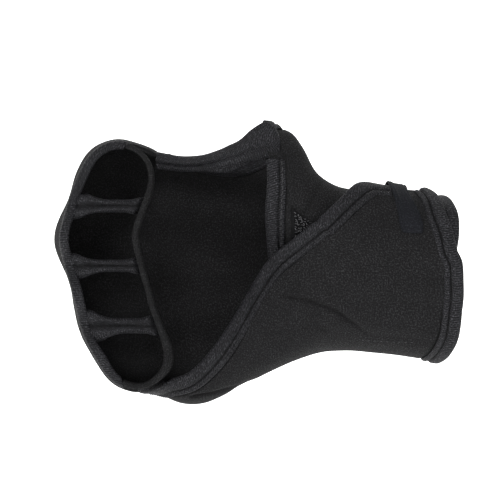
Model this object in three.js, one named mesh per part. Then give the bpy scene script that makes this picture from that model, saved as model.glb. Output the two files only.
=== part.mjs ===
// A weighted training glove: fingerless, with an open palm, in the closed form in which it is worn.
// Units are millimetres. +X runs up the arm, -Y is the palm side, +Z is the thumb side.
// The origin is the centre of the wrist opening.
import * as THREE from "three";

// Driving dimensions.
const CLOTH = 1.7; // stretch cloth over thin foam
const HEM = 0.9; // the same cloth where an edge tape squeezes it
const TAPE = 0.7; // one leg of the folded edge tape
const GAP = 0.3; // clearance between neighbouring pieces
const TAPE_GAP = 0.45; // clearance between an edge tape and the cloth in it
const TAPE_WIDTH = 3.8; // how far the edge tape reaches in from the edge
const HEM_WIDTH = 4.3; // squeezed margin of a panel
const HEM_RAMP = 2.0; // distance over which the margin comes back to full thickness
const LAP_LIFT = 3.7; // how far the wrap is lifted where it lies over the thumb panel
const BLEND = 3.5; // how softly the cloth bridges the hollows of its form
const VIEW = new THREE.Vector3(-74.2, -700, 7.7); // where the lines on the palm side are laid out from

// The hollow of the glove, as round cones from (ax, ay, az) to (bx, by, bz) with radii ra and rb.
const CORES = [
  { zone: "wrist, thumb side", ax: 25, ay: 1, az: 5.2, ra: 17, bx: -36, by: 1, bz: 9.2, rb: 15.6 },
  { zone: "wrist, outer side", ax: 25, ay: 1, az: -19.6, ra: 16, bx: -37.3, by: 1, bz: -8, rb: 16 },
  { zone: "back, row 1", ax: -35, ay: 3, az: 9, ra: 13, bx: -120.3, by: 4, bz: 33, rb: 9.5 },
  { zone: "back, row 2", ax: -35, ay: 4, az: 3, ra: 13, bx: -129.9, by: 6, bz: 12, rb: 8.6 },
  { zone: "back, row 3", ax: -35, ay: 4, az: -4, ra: 13, bx: -122.2, by: 5, bz: -8, rb: 8.6 },
  { zone: "back, row 4", ax: -35, ay: 3, az: -7, ra: 12, bx: -113.5, by: 3, bz: -28.8, rb: 9.1 },
  { zone: "thumb base", ax: -35.8, ay: -5, az: 5.8, ra: 9.6, bx: -70.2, by: -10, bz: 29.9, rb: 13 },
  { zone: "thumb hole", ax: -70, ay: -7, az: 36, ra: 11, bx: -90, by: -22, bz: 58, rb: 10 },
  { zone: "heel of the palm", ax: -46, ay: -5, az: -8.7, ra: 11, bx: -93.9, by: -6, bz: -32.1, rb: 12 },
  { zone: "holes 1 and 2", ax: -124.5, ay: 4.5, az: 24.2, ra: 8.9, bx: -121, by: -40, bz: 22.5, rb: 8.8 },
  { zone: "holes 2 and 3", ax: -125.4, ay: 5, az: 2.3, ra: 8.7, bx: -121.5, by: -40, bz: 2, rb: 8.8 },
  { zone: "holes 3 and 4", ax: -121.1, ay: 4, az: -18.3, ra: 9.9, bx: -116, by: -38, bz: -18, rb: 8.6 },
  { zone: "finger hole 1", ax: -120.3, ay: 4, az: 33, ra: 9.5, bx: -117, by: -40, bz: 33, rb: 9 },
  { zone: "finger hole 2", ax: -129.9, ay: 6, az: 12, ra: 8.6, bx: -124, by: -42, bz: 12, rb: 9 },
  { zone: "finger hole 3", ax: -122.2, ay: 5, az: -8, ra: 8.6, bx: -119, by: -40, bz: -8, rb: 9 },
  { zone: "finger hole 4", ax: -113.5, ay: 3, az: -28.8, ra: 9.1, bx: -111.8, by: -36, bz: -28.9, rb: 8.5 },
];

// Height above the inner face. It is a soft union of the cones: minus BLEND times the logarithm of the sum
// of exp(-d / BLEND), where d is the distance to each cone.
function heightOf(p) {
  let sum = 0;
  for (const c of CORES) {
    const ex = c.bx - c.ax;
    const ey = c.by - c.ay;
    const ez = c.bz - c.az;
    const px = p.x - c.ax;
    const py = p.y - c.ay;
    const pz = p.z - c.az;
    const t = THREE.MathUtils.clamp((px * ex + py * ey + pz * ez) / (ex * ex + ey * ey + ez * ez), 0, 1);
    const d = Math.hypot(px - t * ex, py - t * ey, pz - t * ez) - (c.ra + t * (c.rb - c.ra));
    sum += Math.exp(-d / BLEND);
  }
  return -BLEND * Math.log(sum);
}

// A smooth curve through the columns of a short table, with slopes taken from the neighbouring rows.
function through(rows, key, column) {
  const x = rows.map((r) => r[key]);
  const y = rows.map((r) => r[column]);
  const last = x.length - 1;
  const slope = x.map((_, i) => {
    const a = Math.max(i - 1, 0);
    const b = Math.min(i + 1, last);
    return (y[b] - y[a]) / (x[b] - x[a]);
  });
  return (at) => {
    if (at <= x[0]) return y[0];
    if (at >= x[last]) return y[last];
    const i = x.findIndex((v) => v > at) - 1;
    const w = x[i + 1] - x[i];
    const t = (at - x[i]) / w;
    const ends = y[i] * (1 + 2 * t) * (1 - t) ** 2 + y[i + 1] * t * t * (3 - 2 * t);
    return ends + w * (slope[i] * t * (1 - t) ** 2 - slope[i + 1] * t * t * (1 - t));
  };
}

// Stations run in millimetres from the wrist along the back, round the knuckles and down the finger holes.
const KNUCKLE_AT = 112; // station where the bend starts, also its distance from the wrist
const BEND_LENGTH = 28;
const BEND = THREE.MathUtils.degToRad(96);
const BEND_RADIUS = 14;
const MID_DEPTH = 2; // y of the middle of the glove
const STALL_AT = KNUCKLE_AT + BEND_LENGTH; // station where the finger holes run straight
const UP = new THREE.Vector3(0, 0, 1);

// Ends of the middle line of each cross-section, on the thumb side and on the outer side.
const MIDDLE = [
  { at: 0, top: 7, bottom: -13 },
  { at: 40, top: 10, bottom: -10 },
  { at: 55, top: 20, bottom: -15 },
  { at: 70, top: 31, bottom: -23 },
  { at: 95, top: 33, bottom: -29 },
  { at: 120, top: 33, bottom: -28.5 },
  { at: 165, top: 33, bottom: -28.5 },
];
const middleTop = through(MIDDLE, "at", "top");
const middleBottom = through(MIDDLE, "at", "bottom");

// How far the row of knuckles bows forward, from finger hole 1 (across 0) to 4 (across 1).
const KNUCKLE_ROW = [
  { across: 0, forward: -3 },
  { across: 1 / 3, forward: 2 },
  { across: 2 / 3, forward: -1 },
  { across: 1, forward: -6 },
];
const knuckleBow = through(KNUCKLE_ROW, "across", "forward");

// A straight line from the middle of the glove to its wall. A place on the wall is a station "at" and a
// turn "around": 0 to 1 is the back, 1 to 2 the outer side, 2 to 3 the palm and 3 to 4 the thumb side.
function spoke(at, around) {
  const turn = BEND * THREE.MathUtils.clamp((at - KNUCKLE_AT) / BEND_LENGTH, 0, 1);
  const out = new THREE.Vector3(-Math.sin(turn), Math.cos(turn), 0);
  const origin = new THREE.Vector3(-Math.min(at, KNUCKLE_AT), MID_DEPTH - BEND_RADIUS, 0);
  const k = THREE.MathUtils.euclideanModulo(around, 4);
  const across = k <= 1 ? k : k <= 2 ? 1 : k <= 3 ? 3 - k : 0;
  const bowed = THREE.MathUtils.smoothstep(turn, 0, BEND);
  origin.addScaledVector(out, BEND_RADIUS + knuckleBow(across) * bowed);
  const beyond = Math.max(at - STALL_AT, 0);
  origin.x -= Math.cos(turn) * beyond;
  origin.y -= Math.sin(turn) * beyond;
  origin.z = THREE.MathUtils.lerp(middleTop(at), middleBottom(at), across);
  const angle = k <= 1 ? 0 : k <= 2 ? Math.PI * (k - 1) : k <= 3 ? Math.PI : Math.PI * (k - 2);
  const dir = out.multiplyScalar(Math.cos(angle)).addScaledVector(UP, -Math.sin(angle));
  return { origin, dir };
}

// The point of the wall at a place, at a height above the inner face.
function wallPoint({ at, around }, height) {
  const { origin, dir } = spoke(at, around);
  for (let i = 0; i < 60; i++) origin.addScaledVector(dir, 0.9 * (height - heightOf(origin)));
  return origin;
}

// The place on the palm side, before the knuckles, that is seen from VIEW at x, z of the plane y = 0.
function palmPlace(x, z, height) {
  const dir = new THREE.Vector3(x, 0, z).sub(VIEW).normalize();
  const p = VIEW.clone().addScaledVector(dir, 650);
  for (let i = 0; i < 60; i++) p.addScaledVector(dir, 0.9 * (heightOf(p) - height));
  const top = middleTop(-p.x);
  const bottom = middleBottom(-p.x);
  if (p.z > top) return { at: -p.x, around: 4 - Math.atan2(p.z - top, p.y - MID_DEPTH) / Math.PI };
  if (p.z < bottom) return { at: -p.x, around: 1 + Math.atan2(bottom - p.z, p.y - MID_DEPTH) / Math.PI };
  return { at: -p.x, around: 2 + (p.z - bottom) / (top - bottom) };
}

// A closed mesh with its faces outwards, from points and triangles that all turn the same way.
function closedMesh(name, points, faces, look) {
  let volume = 0;
  for (const [a, b, c] of faces) volume += points[a].dot(points[b].clone().cross(points[c]));
  const index = volume > 0 ? faces.flat() : faces.flatMap(([a, b, c]) => [a, c, b]);
  const geometry = new THREE.BufferGeometry();
  const numbers = points.flatMap((p) => p.toArray());
  geometry.setAttribute("position", new THREE.Float32BufferAttribute(numbers, 3));
  geometry.setIndex(index);
  geometry.computeVertexNormals();
  const mesh = new THREE.Mesh(geometry, new THREE.MeshStandardMaterial({ ...look, metalness: 0 }));
  mesh.name = name;
  return mesh;
}

// A solid between an outer and an inner sheet of points, point(i, j, side) with side 1 or 0.
function sheetSolid(name, columns, rows, point, look) {
  const points = [];
  const faces = [];
  const id = (i, j, side) => (side * columns + i) * rows + j;
  for (let side = 0; side < 2; side++) {
    for (let i = 0; i < columns; i++) {
      for (let j = 0; j < rows; j++) points.push(point(i, j, side));
    }
  }
  const quad = (a, b, c, d) => faces.push([a, b, c], [a, c, d]);
  for (let i = 0; i + 1 < columns; i++) {
    for (let j = 0; j + 1 < rows; j++) {
      quad(id(i, j, 1), id(i + 1, j, 1), id(i + 1, j + 1, 1), id(i, j + 1, 1));
      quad(id(i, j, 0), id(i, j + 1, 0), id(i + 1, j + 1, 0), id(i + 1, j, 0));
    }
    quad(id(i, 0, 0), id(i + 1, 0, 0), id(i + 1, 0, 1), id(i, 0, 1));
    quad(id(i, rows - 1, 1), id(i + 1, rows - 1, 1), id(i + 1, rows - 1, 0), id(i, rows - 1, 0));
  }
  const last = columns - 1;
  for (let j = 0; j + 1 < rows; j++) {
    quad(id(0, j, 1), id(0, j + 1, 1), id(0, j + 1, 0), id(0, j, 0));
    quad(id(last, j, 0), id(last, j + 1, 0), id(last, j + 1, 1), id(last, j, 1));
  }
  return closedMesh(name, points, faces, look);
}

// A solid through rings of points, with flat caps. The section is a ring's outline in its own plane, which
// says how a cap is filled.
function ringSolid(name, rings, section, look) {
  const sides = section.length;
  const faces = [];
  for (let i = 0; i + 1 < rings.length; i++) {
    const a = i * sides;
    const b = (i + 1) * sides;
    for (let j = 0; j < sides; j++) {
      const k = (j + 1) % sides;
      faces.push([a + j, b + j, b + k], [a + j, b + k, a + k]);
    }
  }
  const far = (rings.length - 1) * sides;
  const outline = section.map(([u, v]) => new THREE.Vector2(u, v));
  const clockwise = THREE.ShapeUtils.isClockWise(outline);
  for (const corners of THREE.ShapeUtils.triangulateShape(outline, [])) {
    const [p, q, r] = clockwise ? corners.reverse() : corners;
    faces.push([p, q, r], [far + p, far + r, far + q]);
  }
  return closedMesh(name, rings.flat(), faces, look);
}

const { lerp, clamp, smoothstep } = THREE.MathUtils;
const MID = CLOTH / 2; // height of the middle of a cloth that lies on the inner face
const SEAM_TURN = 0.005; // half the clearance of a seam, as a turn
const TAPE_LIP = TAPE_GAP + TAPE; // how far an edge tape stands out past the edge of its cloth
const glove = new THREE.Group();
const CLOTH_LOOK = { color: 0x2a2a2b, roughness: 0.9 };
const TAPE_LOOK = { color: 0x2e2e30, roughness: 0.75 };
const HOOK_LOOK = { color: 0x222224, roughness: 0.6 };

// A list of evenly spaced numbers, both ends included.
function steps(count, from = 0, to = 1) {
  return Array.from({ length: count + 1 }, (_, i) => lerp(from, to, i / count));
}

// Places along an edge, each as a function that goes a number of millimetres into the panel.
function edgeFrames(edge, shares, side) {
  const dAt = 0.4;
  const dTurn = 0.02;
  return shares.map((k) => {
    const { at, around } = edge(k);
    const p = wallPoint({ at, around }, MID);
    const ahead = wallPoint(edge(Math.min(k + 0.002, 1)), MID);
    const behind = wallPoint(edge(Math.max(k - 0.002, 0)), MID);
    const tangent = ahead.sub(behind).normalize();
    const a = wallPoint({ at: at + dAt, around }, MID).sub(p).divideScalar(dAt);
    const b = wallPoint({ at, around: around + dTurn }, MID).sub(p).divideScalar(dTurn);
    const inward = a.clone().cross(b).normalize().cross(tangent).multiplyScalar(side);
    const det = a.dot(a) * b.dot(b) - a.dot(b) ** 2;
    const inAt = (a.dot(inward) * b.dot(b) - b.dot(inward) * a.dot(b)) / det;
    const inTurn = (b.dot(inward) * a.dot(a) - a.dot(inward) * a.dot(b)) / det;
    return (mm) => ({ at: at + mm * inAt, around: around + mm * inTurn });
  });
}

// A folded edge tape in section, as [reach, height] corners round the squeezed edge of the cloth.
function tapeSection() {
  const half = HEM / 2 + TAPE_GAP;
  const out = half + TAPE;
  const fold = [[0, out], [-TAPE_LIP, 0.45 * out], [-TAPE_LIP, -0.45 * out], [0, -out]];
  const inside = [[TAPE_WIDTH, -half], [-TAPE_GAP, -half], [-TAPE_GAP, half], [TAPE_WIDTH, half]];
  return [[TAPE_WIDTH, out], ...fold, [TAPE_WIDTH, -out], ...inside];
}

function addTape(name, edge, shares, side, rise) {
  const section = tapeSection();
  const rings = edgeFrames(edge, shares, side).map((spot) =>
    section.map(([reach, height]) => wallPoint(spot(reach), rise(spot(reach)) + MID + height)),
  );
  glove.add(ringSolid(name, rings, section, TAPE_LOOK));
}

// A sheet over a grid of places, between the two heights that faces(spot) gives.
function addSheet(name, place, columns, rows, faces, look) {
  const point = (i, j, side) => {
    const spot = place(columns[i], rows[j]);
    return wallPoint(spot, faces(spot, columns[i], rows[j])[side]);
  };
  glove.add(sheetSolid(name, columns.length, rows.length, point, look));
}

// A cloth panel, squeezed along its taped edges.
function addPanel(name, place, columns, rows, rise, tapedEdges) {
  const hems = tapedEdges.flatMap((edge) => steps(140).map((k) => wallPoint(edge(k), MID)));
  const faces = (spot) => {
    const p = wallPoint(spot, MID);
    const nearest = Math.min(...hems.map((q) => q.distanceTo(p)));
    const half = lerp(HEM, CLOTH, smoothstep(nearest, HEM_WIDTH, HEM_WIDTH + HEM_RAMP)) / 2;
    const middle = rise(spot) + MID;
    return [middle - half, middle + half];
  };
  addSheet(name, place, columns, rows, faces, CLOTH_LOOK);
}

// A rounded strip through centres with widths and depths; the width lies along the given direction.
function addStrip(name, rows, across, look) {
  const sides = 10;
  const section = steps(sides - 1, 0, (2 * Math.PI * (sides - 1)) / sides).map((a) => {
    const round = (v) => Math.sign(v) * Math.abs(v) ** 0.7;
    return [0.5 * round(Math.cos(a)), 0.5 * round(Math.sin(a))];
  });
  const rings = rows.map(({ centre, width, depth }, i) => {
    const next = rows[Math.min(i + 1, rows.length - 1)].centre;
    const tangent = next.clone().sub(rows[Math.max(i - 1, 0)].centre).normalize();
    const deep = tangent.cross(across).normalize();
    return section.map(([u, v]) => {
      return centre.clone().addScaledVector(across, u * width).addScaledVector(deep, v * depth);
    });
  });
  glove.add(ringSolid(name, rings, section, look));
}

// How far the wrist end of each panel stands back from the wrist opening.
const BACK_WRIST_END = [
  { around: -0.5, back: 7 },
  { around: -0.42, back: 6.8 },
  { around: -0.3, back: 5.4 },
  { around: 0, back: 2.5 },
  { around: 1, back: 2.5 },
  { around: 1.4, back: 6.6 },
  { around: 1.55, back: 7.6 },
];
const THUMB_WRIST_END = [
  { around: 2.4, back: 4 },
  { around: 3, back: 3.4 },
  { around: 3.1, back: 2.6 },
  { around: 3.2, back: 2.6 },
  { around: 3.3, back: 4 },
  { around: 3.38, back: 5.5 },
  { around: 3.44, back: 6.6 },
  { around: 3.5, back: 7 },
];
const WRAP_WRIST_END = [
  { around: 1.4, back: 6.6 },
  { around: 1.55, back: 7.6 },
  { around: 1.7, back: 5 },
  { around: 1.86, back: 2.5 },
  { around: 2.16, back: 1.5 },
  { around: 2.51, back: 1.5 },
  { around: 2.8, back: 1.9 },
  { around: 2.95, back: 3.2 },
  { around: 3.1, back: 5.2 },
  { around: 3.19, back: 7.2 },
  { around: 3.29, back: 8.6 },
  { around: 3.37, back: 10.4 },
  { around: 3.43, back: 12.8 },
];
const backWristEnd = through(BACK_WRIST_END, "around", "back");
const thumbWristEnd = through(THUMB_WRIST_END, "around", "back");
const wrapWristEnd = through(WRAP_WRIST_END, "around", "back");
const WRIST_FADE = 22; // station by which the sections stand square
const fromWrist = (at, back) => at + (TAPE_LIP + back) * Math.max(0, 1 - at / WRIST_FADE);

// Seam between the back and the wrap, on the outer side.
const OUTER_SEAM = [
  { at: 0, around: 1.47 },
  { at: 40, around: 1.52 },
  { at: 70, around: 1.6 },
  { at: 97, around: 1.6 },
  { at: 112, around: 1.56 },
  { at: 160, around: 1.56 },
];
const outerSeam = through(OUTER_SEAM, "at", "around");

// Thumb-side edge of the back: seam to the thumb panel, then the thumb hole, then beside finger hole 1.
const HOLE_END = 147.5; // station of the finger ends, over the middle of a finger hole
const HOLE_CUT = 5; // how much shorter the cloth is between two finger holes
const BACK_COLUMNS = 33;
const THUMB_HOLE_FROM = 15 / BACK_COLUMNS; // part of the back's length where the thumb hole begins
const THUMB_HOLE_TO = 23 / BACK_COLUMNS;
const THUMB_CORNER = HOLE_END * THUMB_HOLE_FROM;
const THUMB_EDGE = [
  { at: 0, around: -0.5 },
  { at: 60, around: -0.5 },
  { at: THUMB_CORNER, around: -0.5 },
  { at: 71.5, around: -0.44 },
  { at: 77, around: -0.37 },
  { at: 84, around: -0.34 },
  { at: 93, around: -0.4 },
  { at: 103, around: -0.58 },
  { at: 112, around: -0.66 },
  { at: 160, around: -0.66 },
];
const thumbEdge = through(THUMB_EDGE, "at", "around");

// The back, from the wrist over the knuckles to the finger holes. Its rows divide the knuckles evenly.
const flat = () => 0;
const BACK_FROM = thumbEdge(HOLE_END) + SEAM_TURN;
const BACK_TO = outerSeam(HOLE_END) - SEAM_TURN;
const backTurns = [...steps(6, BACK_FROM, 0), ...steps(18).slice(1), ...steps(5, 1, BACK_TO).slice(1)];
const backShares = backTurns.map((turn) => (turn - BACK_FROM) / (BACK_TO - BACK_FROM));
function backPlace(station, share) {
  const turn = lerp(BACK_FROM, BACK_TO, share);
  const cut = HOLE_CUT * (0.5 - 0.5 * Math.cos(6 * Math.PI * clamp(turn, 0, 1)));
  const at = station * HOLE_END - cut * smoothstep(station, 0.88, 1);
  const around = lerp(thumbEdge(at) + SEAM_TURN, outerSeam(at) - SEAM_TURN, share);
  return { at: fromWrist(at, backWristEnd(around)), around };
}
const fingerEdge = (share) => backPlace(1, share);
const backWristEdge = (share) => backPlace(0, share);

// Thumb panel, round the base of the thumb. Its free edge bounds the palm opening and the thumb hole.
const THUMB_FREE_EDGE = [
  { around: 2.4, at: 66.3 },
  { around: 2.6, at: 67.3 },
  { around: 2.8, at: 68 },
  { around: 3.05, at: 67.3 },
  { around: 3.2, at: 68.3 },
  { around: 3.27, at: 69.3 },
  { around: 3.35, at: 67.9 },
  { around: 3.43, at: 67.3 },
  { around: 3.5, at: THUMB_CORNER },
];
const thumbFreeEdge = through(THUMB_FREE_EDGE, "around", "at");
const THUMB_PANEL_LOW = 2.43;
const THUMB_PANEL_HIGH = 3.5 - SEAM_TURN;
const PALM_EDGE_TOP = 3.1; // turn at the upper corner of the palm opening
const THUMB_TIP = 3.27; // turn at the pointed corner between the palm opening and the thumb hole
const palmEdgeTurns = steps(7, THUMB_PANEL_LOW, PALM_EDGE_TOP);
const tipTurns = steps(2, PALM_EDGE_TOP, THUMB_TIP);
const holeTurns = steps(3, THUMB_TIP, THUMB_PANEL_HIGH);
const thumbTurns = [...palmEdgeTurns, ...tipTurns.slice(1), ...holeTurns.slice(1)];
function thumbPlace(station, around) {
  return { at: fromWrist(lerp(thumbFreeEdge(around), 0, station), thumbWristEnd(around)), around };
}
const palmEdge = (k) => thumbPlace(0, lerp(THUMB_PANEL_LOW, PALM_EDGE_TOP, k));
const thumbWristEdge = (k) => thumbPlace(1, lerp(THUMB_PANEL_LOW, THUMB_PANEL_HIGH, k));
const thumbSpan = THUMB_PANEL_HIGH - THUMB_PANEL_LOW;
const thumbShares = thumbTurns.map((turn) => (turn - THUMB_PANEL_LOW) / thumbSpan);
// The thumb hole's taped edge runs on the thumb panel up to the corner, then on the back.
const CORNER = 3 / 11;
function thumbHoleEdge(k) {
  if (k < CORNER) return thumbPlace(0, lerp(THUMB_TIP, 3.5, k / CORNER));
  const at = HOLE_END * lerp(THUMB_HOLE_FROM, THUMB_HOLE_TO, (k - CORNER) / (1 - CORNER));
  return { at, around: thumbEdge(at) + 4 };
}

// Diagonal free edge of the wrap, laid out on the palm side as the outer line of its edge tape.
const WRAP_DIAGONAL = [
  { x: -42, z: 24.5 },
  { x: -49, z: 18.2 },
  { x: -58, z: 11 },
  { x: -67, z: 3.5 },
  { x: -73.5, z: -6.5 },
  { x: -79.5, z: -16.8 },
  { x: -86.5, z: -27.3 },
  { x: -95, z: -36 },
  { x: -104, z: -39 },
];
// Turn of the wrap's free edge along the wrist, and at its far tip beside finger hole 4.
const WRAP_WRIST_EDGE = [
  { at: 0, around: 3.43 },
  { at: 16, around: 3.41 },
  { at: 34, around: 3.36 },
];
const WRAP_TIP_EDGE = [
  { at: 110, around: 1.74 },
  { at: 114, around: 1.71 },
];
const WRAP_END = 114;
const liftFade = (at) => 1 - smoothstep(at, 69, 86);
const wrapRise = ({ at, around }) => LAP_LIFT * smoothstep(around, 1.62, 2.38) * liftFade(at);
const diagonal = WRAP_DIAGONAL.map(({ x, z }) => palmPlace(x, z, MID + LAP_LIFT * liftFade(-x)));
const wrapEdge = through([...WRAP_WRIST_EDGE, ...diagonal, ...WRAP_TIP_EDGE], "at", "around");
const wristStations = [...steps(6, 0, 24), ...steps(12, 24, 48).slice(1)];
const wrapStations = [...wristStations, ...steps(16, 48, WRAP_END).slice(1)];
const wrapShares = [...steps(9, 0, 0.76), ...steps(7, 0.76, 1).slice(1)];
function wrapPlace(at, share) {
  const around = lerp(outerSeam(at) + SEAM_TURN, wrapEdge(at), share);
  return { at: fromWrist(at, wrapWristEnd(around)), around };
}
const UNDER_TAB = 8; // columns of the wrap up to where its free edge comes out from under the tab
const wrapFreeEdge = (k) => wrapPlace(WRAP_END * k, 1);
const wrapWristEdge = (share) => wrapPlace(0, share);

const backEdges = [fingerEdge, backWristEdge, thumbHoleEdge];
addPanel("back_shell", backPlace, steps(BACK_COLUMNS), backShares, flat, backEdges);
addPanel("thumb_panel", thumbPlace, steps(15), thumbTurns, flat, [palmEdge, thumbHoleEdge, thumbWristEdge]);
addPanel("palm_wrap", wrapPlace, wrapStations, wrapShares, wrapRise, [wrapFreeEdge, wrapWristEdge]);
addTape("palm_binding", palmEdge, steps(7), 1, flat);
addTape("thumb_binding", thumbHoleEdge, steps(11), 1, flat);
const diagonalShares = wrapStations.slice(UNDER_TAB).map((at) => at / WRAP_END);
addTape("wrap_binding", wrapFreeEdge, diagonalShares, -1, wrapRise);
addTape("cuff_binding", wrapWristEdge, wrapShares, -1, wrapRise);
addTape("back_cuff_binding", backWristEdge, backShares, -1, flat);
addTape("thumb_cuff_binding", thumbWristEdge, thumbShares, -1, flat);

// Edge tape of each finger hole, between the cuts of the back's finger end.
const RIMS = [
  { name: "index_rim", from: 0, to: 9 },
  { name: "middle_rim", from: 9, to: 15 },
  { name: "ring_rim", from: 15, to: 21 },
  { name: "little_rim", from: 21, to: 29 },
];
const RIM_GAP = 0.003; // part of the finger end between two rims
for (const { name, from, to } of RIMS) {
  const shares = backShares.slice(from, to + 1);
  if (from > 0) shares[0] += RIM_GAP / 2;
  if (to < backShares.length - 1) shares[shares.length - 1] -= RIM_GAP / 2;
  addTape(name, fingerEdge, shares, 1, flat);
}

// Strip across the palm side of the finger holes.
const BAND_AT = 150;
const BAND_WIDTH = 7.5;
const bandTurns = steps(22, BACK_TO + 3 * SEAM_TURN, BACK_FROM + 4 - 3 * SEAM_TURN);
function bandPoint(i, j, side) {
  const p = wallPoint({ at: BAND_AT, around: bandTurns[j] }, side * CLOTH);
  p.y += (i * BAND_WIDTH) / 2;
  return p;
}
glove.add(sheetSolid("palm_band", 3, bandTurns.length, bandPoint, CLOTH_LOOK));

// Doubled strips between the finger holes, from the back to the palm strip, sagging into the glove.
const WEBS = [
  { name: "index_web", across: 1 / 6, width: 5 },
  { name: "middle_web", across: 1 / 2, width: 4.8 },
  { name: "ring_web", across: 5 / 6, width: 6 },
];
const WEB_DEPTH = 8;
const WEB_SAG = 3;
for (const { name, across, width } of WEBS) {
  const from = wallPoint({ at: HOLE_END - HOLE_CUT, around: across }, -2.2);
  const to = wallPoint({ at: BAND_AT, around: 3 - across }, -2);
  to.y += BAND_WIDTH / 2;
  const rows = steps(6).map((t) => {
    const centre = from.clone().lerp(to, t);
    centre.y += WEB_SAG * Math.sin(Math.PI * t);
    return { centre, width: width * (1 - 0.2 * Math.sin(Math.PI * t)), depth: WEB_DEPTH };
  });
  addStrip(name, rows, UP, TAPE_LOOK);
}

// Rolled strip between the palm opening and the thumb hole, from the thumb panel's tip to finger hole 1.
const THUMB_WEB = [
  { x: -69.7, y: -21.2, z: 44.2, width: 12 },
  { x: -73.8, y: -23.8, z: 42.8, width: 9.6 },
  { x: -77.6, y: -24.6, z: 41, width: 8 },
  { x: -81, y: -23.8, z: 39.8, width: 7 },
  { x: -84.5, y: -21.5, z: 38.6, width: 6.4 },
  { x: -90.6, y: -16.8, z: 37.4, width: 5.6 },
  { x: -98, y: -11.6, z: 37.4, width: 5.4 },
  { x: -106, y: -8.8, z: 38.6, width: 6 },
];
const WEB_THICK = 4;
const thumbWebRows = THUMB_WEB.map(({ x, y, z, width }) => {
  return { centre: new THREE.Vector3(x, y, z), width, depth: WEB_THICK };
});
addStrip("thumb_web", thumbWebRows, UP, TAPE_LOOK);

// Hook patch on the thumb panel, under the wrap's diagonal edge.
const PATCH_THICK = 0.5;
const patchPlace = (station, share) => ({ at: lerp(60, 42, station), around: lerp(2.56, 2.95, share) });
const patchFaces = () => [CLOTH + GAP, CLOTH + GAP + PATCH_THICK];
addSheet("hook_patch", patchPlace, steps(5), steps(4), patchFaces, HOOK_LOOK);

// Closure tab, from the back over the wrap's free edge on to the wrap.
const TAB_THICK = 1;
function tabPlace(station, share) {
  const wristSide = lerp(15.8, 19, smoothstep(share, 0, 0.36));
  return { at: lerp(wristSide, lerp(25.6, 26.6, share), station), around: lerp(3.08, 3.92, share) };
}
function tabFaces({ around }) {
  const height = CLOTH + GAP + LAP_LIFT * (1 - smoothstep(around, 3.4, 3.66));
  return [height, height + TAB_THICK];
}
addSheet("closure_tab", tabPlace, steps(3), steps(14), tabFaces, CLOTH_LOOK);

// Padded weight pouch on the back, in lengthwise channels.
const POUCH_CHANNELS = 3;
const POUCH_LIFT = 0.7;
const POUCH_SEAM = 2;
const POUCH_FILL = 5;
function pouchPlace(station, share) {
  const thumbSide = lerp(-0.3, 0.06, station);
  const outerSide = lerp(1.28, 1.04, station);
  return { at: lerp(30, 102, station), around: lerp(thumbSide, outerSide, share) };
}
function pouchFaces(spot, station, share) {
  const crown = Math.sin(Math.PI * share * POUCH_CHANNELS) ** 2;
  const ends = 1 - (2 * station - 1) ** 6;
  const low = CLOTH + POUCH_LIFT;
  return [low, low + POUCH_SEAM + POUCH_FILL * Math.sqrt(crown) * ends];
}
addSheet("weight_pouch", pouchPlace, steps(12), steps(12), pouchFaces, CLOTH_LOOK);

export default glove;
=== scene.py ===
import bpy
import numpy as np
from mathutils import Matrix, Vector
from mathutils.bvhtree import BVHTree


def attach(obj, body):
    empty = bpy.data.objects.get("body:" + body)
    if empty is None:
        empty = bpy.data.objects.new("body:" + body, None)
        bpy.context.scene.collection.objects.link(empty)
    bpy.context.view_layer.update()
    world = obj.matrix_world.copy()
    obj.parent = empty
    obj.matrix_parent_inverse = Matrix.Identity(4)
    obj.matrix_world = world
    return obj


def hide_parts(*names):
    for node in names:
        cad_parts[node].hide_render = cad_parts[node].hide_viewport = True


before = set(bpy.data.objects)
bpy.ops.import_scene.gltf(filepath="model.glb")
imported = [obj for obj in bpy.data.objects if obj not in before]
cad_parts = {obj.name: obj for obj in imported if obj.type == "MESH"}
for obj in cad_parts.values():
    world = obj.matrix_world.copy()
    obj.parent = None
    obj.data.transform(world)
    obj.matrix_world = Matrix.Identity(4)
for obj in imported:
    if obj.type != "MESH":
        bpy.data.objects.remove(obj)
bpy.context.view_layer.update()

# Camera. The glove is seen square on from its palm side, with the wrist at the right,
# 175 mm across the picture at the plane through the wrist. All sizes below are in millimetres.
VIEW = np.array([-74.2, -700.0, 7.7])
SEEN_WIDTH, SENSOR_WIDTH = 175.0, 36.0
camera_data = bpy.data.cameras.new("camera")
camera_data.sensor_width = SENSOR_WIDTH
camera_data.lens = SENSOR_WIDTH * -VIEW[1] / SEEN_WIDTH
camera = bpy.data.objects.new("camera", camera_data)
camera.location = VIEW / 1000
camera.rotation_euler = (np.pi / 2, 0, 0)
bpy.context.scene.collection.objects.link(camera)
bpy.context.scene.camera = camera
bpy.context.scene.view_settings.view_transform = "Standard"

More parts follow.
